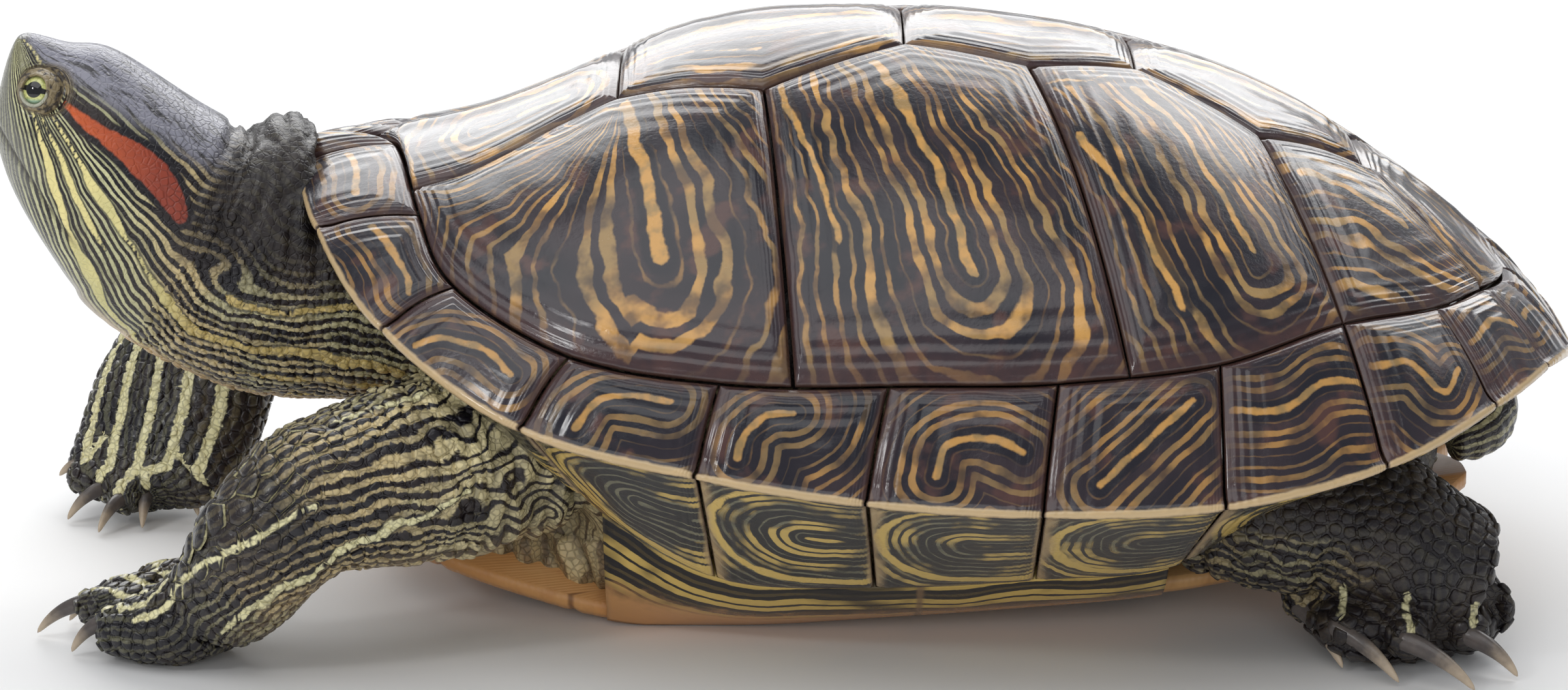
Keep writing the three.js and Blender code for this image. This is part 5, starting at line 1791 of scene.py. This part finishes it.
def skin_material(name, gaps):
    """Dark skin with pale lines, strokes and the red patch; `gaps` is how deep the beading looks."""
    sh = Shader(name)
    phase, strength, kind = sh.marks("lines")
    pale, red, lid = sh.marks("strokes")
    crown, cream, shade = sh.marks("tones")
    x, _, _ = sh.split(sh.place())
    fine = sh.noise(0.55, 3, 0.55)
    coarse = sh.noise(0.07, 3)
    jag = fine - 0.5
    limb = sh.math("MINIMUM", kind, 1.0)
    maze = sh.math("MAXIMUM", kind - 1.0, 0.0)
    base = sh.mix(sh.step(coarse, 0.38, 0.62), CHARCOAL, BARK)
    # the many thin lines
    wander = jag * 0.36 + phase
    width = maze * 0.12 + 0.16
    line, chance = stripes(sh, wander, width, 0.12, 0.13)
    weight = (chance * 0.4 + 0.6) * strength
    broken = sh.patches(0.20, 2, 0.30, 0.50, 0.6, 1.0)
    line = line * weight * broken
    line = line * sh.step(red, -1.7, -1.1, 1.0, 0.0)
    tint = sh.mix(sh.patches(0.045, 2, 0.42, 0.58), LINE_GREEN, LINE_YELLOW)
    tint = sh.mix(sh.step(x, -0.112, -0.098), CHEEK_LINE, tint)
    tint = sh.mix(maze, tint, MAZE_YELLOW)
    colour = sh.mix(line, base, tint)
    # broad pale strokes with a dark line on each side
    colour = sh.mix(sh.step(pale, -0.8, -0.3, 0.0, 0.75), colour, CHARCOAL)
    ragged = jag * 0.75 + pale
    broad = sh.mix(sh.patches(0.03, 2, 0.45, 0.58), PALE_YELLOW, PALE_GREEN)
    broad = sh.mix(sh.step(x, -0.108, -0.094), broad, NECK_GOLD)
    colour = sh.mix(sh.step(ragged, -0.22, 0.18), colour, sh.mix(limb, broad, HAND_PALE))
    # the red patch, orange in front and brick behind
    redness = sh.mix(sh.step(coarse * 0.012 + x, -0.118, -0.094), ORANGE_RED, BRICK)
    redness = sh.mix(sh.patches(0.9, 3, 0.5, 0.75, 0.0, 0.4), redness, BRICK)
    ragged = jag * 0.9 + red
    colour = sh.mix(sh.step(ragged, -0.25, 0.25), colour, redness)
    # crown in a pale grey that paints the sheen on top of the head, throat, painted shade, and lids
    along_head = sh.node("CombineXYZ", {0: phase * 1.9, 1: x * 150.0})
    streak = sh.step(sh.noise(1.0 * MM, 5, 0.65, along_head), 0.47, 0.62)
    colour = sh.mix(crown, colour, sh.mix(streak, CROWN_SHEEN, CROWN_STREAK))
    throat = sh.mix(sh.step(fine, 0.35, 0.65, 0.0, 0.6), THROAT, (0.34, 0.26, 0.14))
    colour = sh.mix(cream, colour, sh.mix(sh.step(x, -0.124, -0.110), CHIN, throat))
    # painted shade: the shade mark darkens the skin in the mouth line, nostrils, fold valleys and under the
    # shell; nape, hind legs and rear pockets darker all over
    colour = sh.mix(shade * 0.85, colour, NAPE_AND_SHADE)
    rings = sh.math("SINE", lid * 34.0 + sh.noise(0.5, 2) * 9.0)
    lids = sh.mix(sh.step(rings, -0.1, 0.8), (0.052, 0.042, 0.034), (0.26, 0.205, 0.115))
    colour = sh.mix(sh.math("MINIMUM", lid, 1.0), colour, lids)
    colour = sh.mix(sh.step(lid, 1.2, 1.7), colour, (0.42, 0.42, 0.33))
    packed = {"Vector": sh.place(), "Scale": 0.75 / MM}
    cells = sh.node("TexVoronoi", packed, feature="DISTANCE_TO_EDGE")
    beaded = sh.math("MAXIMUM", limb, sh.step(x, -0.106, -0.096))
    colour = sh.mix(sh.step(cells, 0.03, 0.16, 0.34, 0.0) * beaded, colour, CHARCOAL)
    normal = sh.bump(sh.step(cells, 0.02, 0.16), 0.30, gaps)
    normal = sh.bump(sh.noise(1.3, 4, 0.6), 0.16, 0.4, normal)
    rough = shade * 0.25 + (fine * 0.16 + 0.25)
    return sh.finish(
        Base_Color=colour, Roughness=rough, Normal=normal, IOR=HORN_IOR,
        Coat_Weight=0.15, Coat_Roughness=0.12,
    )


def eye_material():
    """Wet yellow-green iris, round pupil and the dark bar that crosses it."""
    sh = Shader("eye_wet")
    x, y, _ = sh.marks("gaze")
    rho = sh.math("SQRT", x * x + y * y)
    fine = sh.noise(1.6, 4, 0.6)
    iris = sh.mix(sh.step(fine, 0.35, 0.65), (0.40, 0.43, 0.13), (0.68, 0.68, 0.28))
    low = sh.step(rho * 0.35 - y, 2.2, 3.2, 0.0, 0.8)
    iris = sh.mix(low, iris, (0.22, 0.44, 0.38))
    colour = sh.mix(sh.step(rho, 2.15, 2.6, 0.0, 0.7), iris, (0.12, 0.14, 0.06))
    tilted = x * 0.16 + y - 0.05
    reach = abs(x) * -0.1 + 0.72
    bar = sh.step(reach - abs(tilted), -0.12, 0.12)
    bar = bar * sh.step(abs(x), 2.3, 2.9, 1.0, 0.0)
    colour = sh.mix(bar, colour, (0.012, 0.012, 0.012))
    colour = sh.mix(sh.step(rho, 1.52, 1.66, 1.0, 0.0), colour, (0.004, 0.004, 0.005))
    return sh.finish(Base_Color=colour, Roughness=0.05, IOR=1.4, Coat_Weight=1.0, Coat_Roughness=0.02)


def claw_material():
    """Dark horn that turns paler to the tip."""
    sh = Shader("claw_horn")
    t = sh.value("horn")
    fine = sh.noise(0.5, 3)
    dark = sh.mix(fine, (0.045, 0.040, 0.040), (0.12, 0.10, 0.09))
    shade = sh.step((fine - 0.5) * 0.3 + t, 0.35, 0.95)
    colour = sh.mix(shade, dark, (0.46, 0.37, 0.27))
    normal = sh.bump(sh.noise(0.9, 3), 0.12, 0.4)
    return sh.finish(Base_Color=colour, Roughness=0.26, Normal=normal, IOR=HORN_IOR)


def plastron_material():
    """Orange-yellow horn with dark blotches and seams."""
    sh = Shader("plastron_horn")
    seam, _, blotch = sh.marks("belly")
    coarse = sh.noise(0.03, 3)
    fine = sh.noise(0.25, 4)
    colour = sh.mix(sh.step(coarse, 0.35, 0.65), (0.52, 0.25, 0.085), (0.62, 0.36, 0.15))
    ragged = (sh.noise(0.06, 3) - 0.5) * 2.4 + blotch
    colour = sh.mix(sh.step(ragged, 0.75, 1.1, 0.72, 0.0), colour, (0.06, 0.035, 0.022))
    colour = sh.mix(sh.step(fine, 0.55, 0.75, 0.0, 0.35), colour, (0.40, 0.17, 0.06))
    colour = sh.mix(sh.step(seam, 0.2, 0.9, 0.8, 0.0), colour, (0.16, 0.07, 0.03))
    normal = sh.bump(fine, 0.25, 0.4)
    normal = sh.bump(sh.math("SINE", seam * 5.0), 0.06, 0.4, normal)
    rough = fine * 0.2 + 0.24
    return sh.finish(Base_Color=colour, Roughness=rough, Normal=normal, IOR=HORN_IOR)


def bridge_material():
    """Dark horn with long yellow stripes, orange towards the plastron."""
    sh = Shader("bridge_horn")
    phase, _, seam = sh.marks("bridge")
    share = sh.value("share")
    fine = sh.noise(0.35, 3)
    wander = (fine - 0.5) * 0.3 + phase
    line, chance = stripes(sh, wander, 0.14, 0.26)
    streaked = sh.patches(0.05, 3, 0.40, 0.56, 0.15, 1.0)
    weight = sh.step(chance, 0.25, 0.7, 0.12, 1.0) * streaked
    low = sh.mix(line * weight, INK, GOLD)
    colour = sh.mix(sh.step(fine * 0.25 + share, 0.55, 0.86), low, (0.55, 0.28, 0.1))
    colour = sh.mix(sh.step(seam, 0.3, 1.2, 0.8, 0.0), colour, (0.20, 0.12, 0.06))
    normal = sh.bump(fine, 0.25, 0.4)
    return sh.finish(Base_Color=colour, Roughness=0.25, Normal=normal, IOR=HORN_IOR)


# ---------------------------------------------------------------- pieces of the shell

SIDES = {"left": -1, "right": 1}  # the sign of y


def add_piece(bundle, name, material, replaced=()):
    """Builds a piece, fixed to the one body, that stands for some nodes of the CAD."""
    piece = bundle.build(name, material)
    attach(piece, "root")
    if replaced:
        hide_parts(*replaced)
    return piece


def numbered(name, count):
    """Names of CAD nodes that end in 1, 2, 3 and so on."""
    return [f"{name}_{k + 1}" for k in range(count)]


for name, side in SIDES.items():
    add_piece(costals(side), f"costals_{name}", SHELL, numbered(f"costal_{name}", len(COSTALS)))
    add_piece(marginals(side), f"marginal_row_{name}", SHELL, [f"marginals_{name}"])
add_piece(vertebrals(), "vertebral_row", SHELL, numbered("vertebral", len(VERTEBRALS)))
nape = Bundle()
marginal_plate(nape, -1, 1, [(0.2, 0.2), (0.5, 0.6), (0.8, 0.2)], 1)
add_piece(nape, "nuchal_plate", SHELL, ["nuchal_scute"])


# ---------------------------------------------------------------- pieces of the body

add_piece(plastron(), "plastron_plates", plastron_material(), ["plastron"])
BRIDGE = bridge_material()
for name, side in SIDES.items():
    add_piece(bridge(side), f"bridge_wall_{name}", BRIDGE, [f"bridge_{name}"])

flesh = ["trunk", "neck", "head", "lower_jaw", "tail"]
for name in SIDES:
    flesh += [f"{part}_{name}" for part in ("upper_arm", "forearm", "hand", "thigh", "shank", "foot")]
hide, skin_points, skin_normals, skin_fields = skin()
add_piece(hide, "skin", skin_material("skin_hide", 0.5), flesh)
coat, patches = scales(skin_points, skin_normals, skin_fields)
add_bake_map(add_piece(coat, "scales", skin_material("skin_scales", 0.15)), patches)

EYE_LOOK = eye_material()
for name, side in SIDES.items():
    add_piece(eyeball(-side), f"eyeball_{name}", EYE_LOOK, [f"eye_{name}"])

HORN = claw_material()
CLAW_RADII = dict(front=1.7, hind=2.1)
for name, limb in LIMBS.items():
    claw_nodes = numbered(f"claw_{name}", len(limb["toes"]))
    add_piece(claws(limb, CLAW_RADII[name.split("_")[0]]), f"claws_{name}", HORN, claw_nodes)


# ---------------------------------------------------------------- floor, light and camera

CENTRE = Vector((0.018, 0, 0.05))


def area_light(name, place, size, power, glints=True):
    """A rectangular lamp aimed at the object; without glints it lights but has no reflection."""
    data = bpy.data.lights.new(name, "AREA")
    data.shape = "RECTANGLE"
    data.size, data.size_y = size
    data.energy = power
    lamp = bpy.data.objects.new(name, data)
    lamp.location = place
    lamp.visible_glossy = glints
    lamp.rotation_euler = (CENTRE - Vector(place)).to_track_quat("-Z", "Y").to_euler()
    bpy.context.scene.collection.objects.link(lamp)


def floor(reach=9.0):
    """A pale floor, lit by itself far from the animal where only the camera sees it."""
    mesh = bpy.data.meshes.new("floor")
    corners = [(-reach, -reach, 0), (reach, -reach, 0), (reach, reach, 0), (-reach, reach, 0)]
    mesh.from_pydata(corners, [], [(0, 1, 2, 3)])
    sh = Shader("floor_paint")
    tone = sh.mix(sh.noise(0.002, 2), (0.80, 0.80, 0.80), (0.84, 0.84, 0.835))
    x, y, _ = sh.split(sh.place())
    away = sh.math("SQRT", x * x + y * y)
    glow = sh.node("LightPath", output="Is Camera Ray") * sh.step(away, 0.6, 2.4, 0.0, 0.66)
    shine = dict(Emission_Color=(0.95, 0.97, 1.0), Emission_Strength=glow)
    mesh.materials.append(sh.finish(Base_Color=tone, Roughness=0.6, **shine))
    made = bpy.data.objects.new("floor", mesh)
    bpy.context.scene.collection.objects.link(made)
    return made


floor()

WORLD_LIGHT = 0.33  # strength of the world's light on the object; the camera sees it at 1
studio = Shader("studio", bpy.data.worlds, "Background")
strength = studio.node("LightPath", output="Is Camera Ray") * (1 - WORLD_LIGHT) + WORLD_LIGHT
bpy.context.scene.world = studio.finish(Color=(0.93, 0.95, 1.0), Strength=strength)

area_light("sheen", (0.02, 1.8, 1.45), (2.8, 2.0), 58)
area_light("key", (-0.45, -0.5, 1.5), (1.7, 1.3), 8)
area_light("spark", (-1.0, -0.8, 0.88), (0.18, 0.18), 2.2)
area_light("rear", (0.75, 0.5, 1.1), (1.0, 0.5), 2.5)
area_light("front", (-0.15, -1.9, 0.6), (1.8, 0.9), 12, glints=False)

CAMERA_DISTANCE = 1.0
CAMERA_ELEVATION = math.radians(15)
TARGET = Vector((0.018, 0, 0.0445))
SENSOR = 36.0
FOCAL_WIDTHS = 7730 / 2404  # focal length in image widths
lens = bpy.data.cameras.new("camera")
lens.sensor_width = SENSOR
lens.lens = SENSOR * FOCAL_WIDTHS
lens.clip_start = 0.05
lens.clip_end = 50
camera = bpy.data.objects.new("camera", lens)
towards = Vector((0, -math.cos(CAMERA_ELEVATION), math.sin(CAMERA_ELEVATION)))
camera.location = TARGET + CAMERA_DISTANCE * towards
camera.rotation_euler = (math.radians(90) - CAMERA_ELEVATION, 0, 0)
bpy.context.scene.collection.objects.link(camera)
bpy.context.scene.camera = camera
bpy.context.scene.view_settings.view_transform = "Standard"
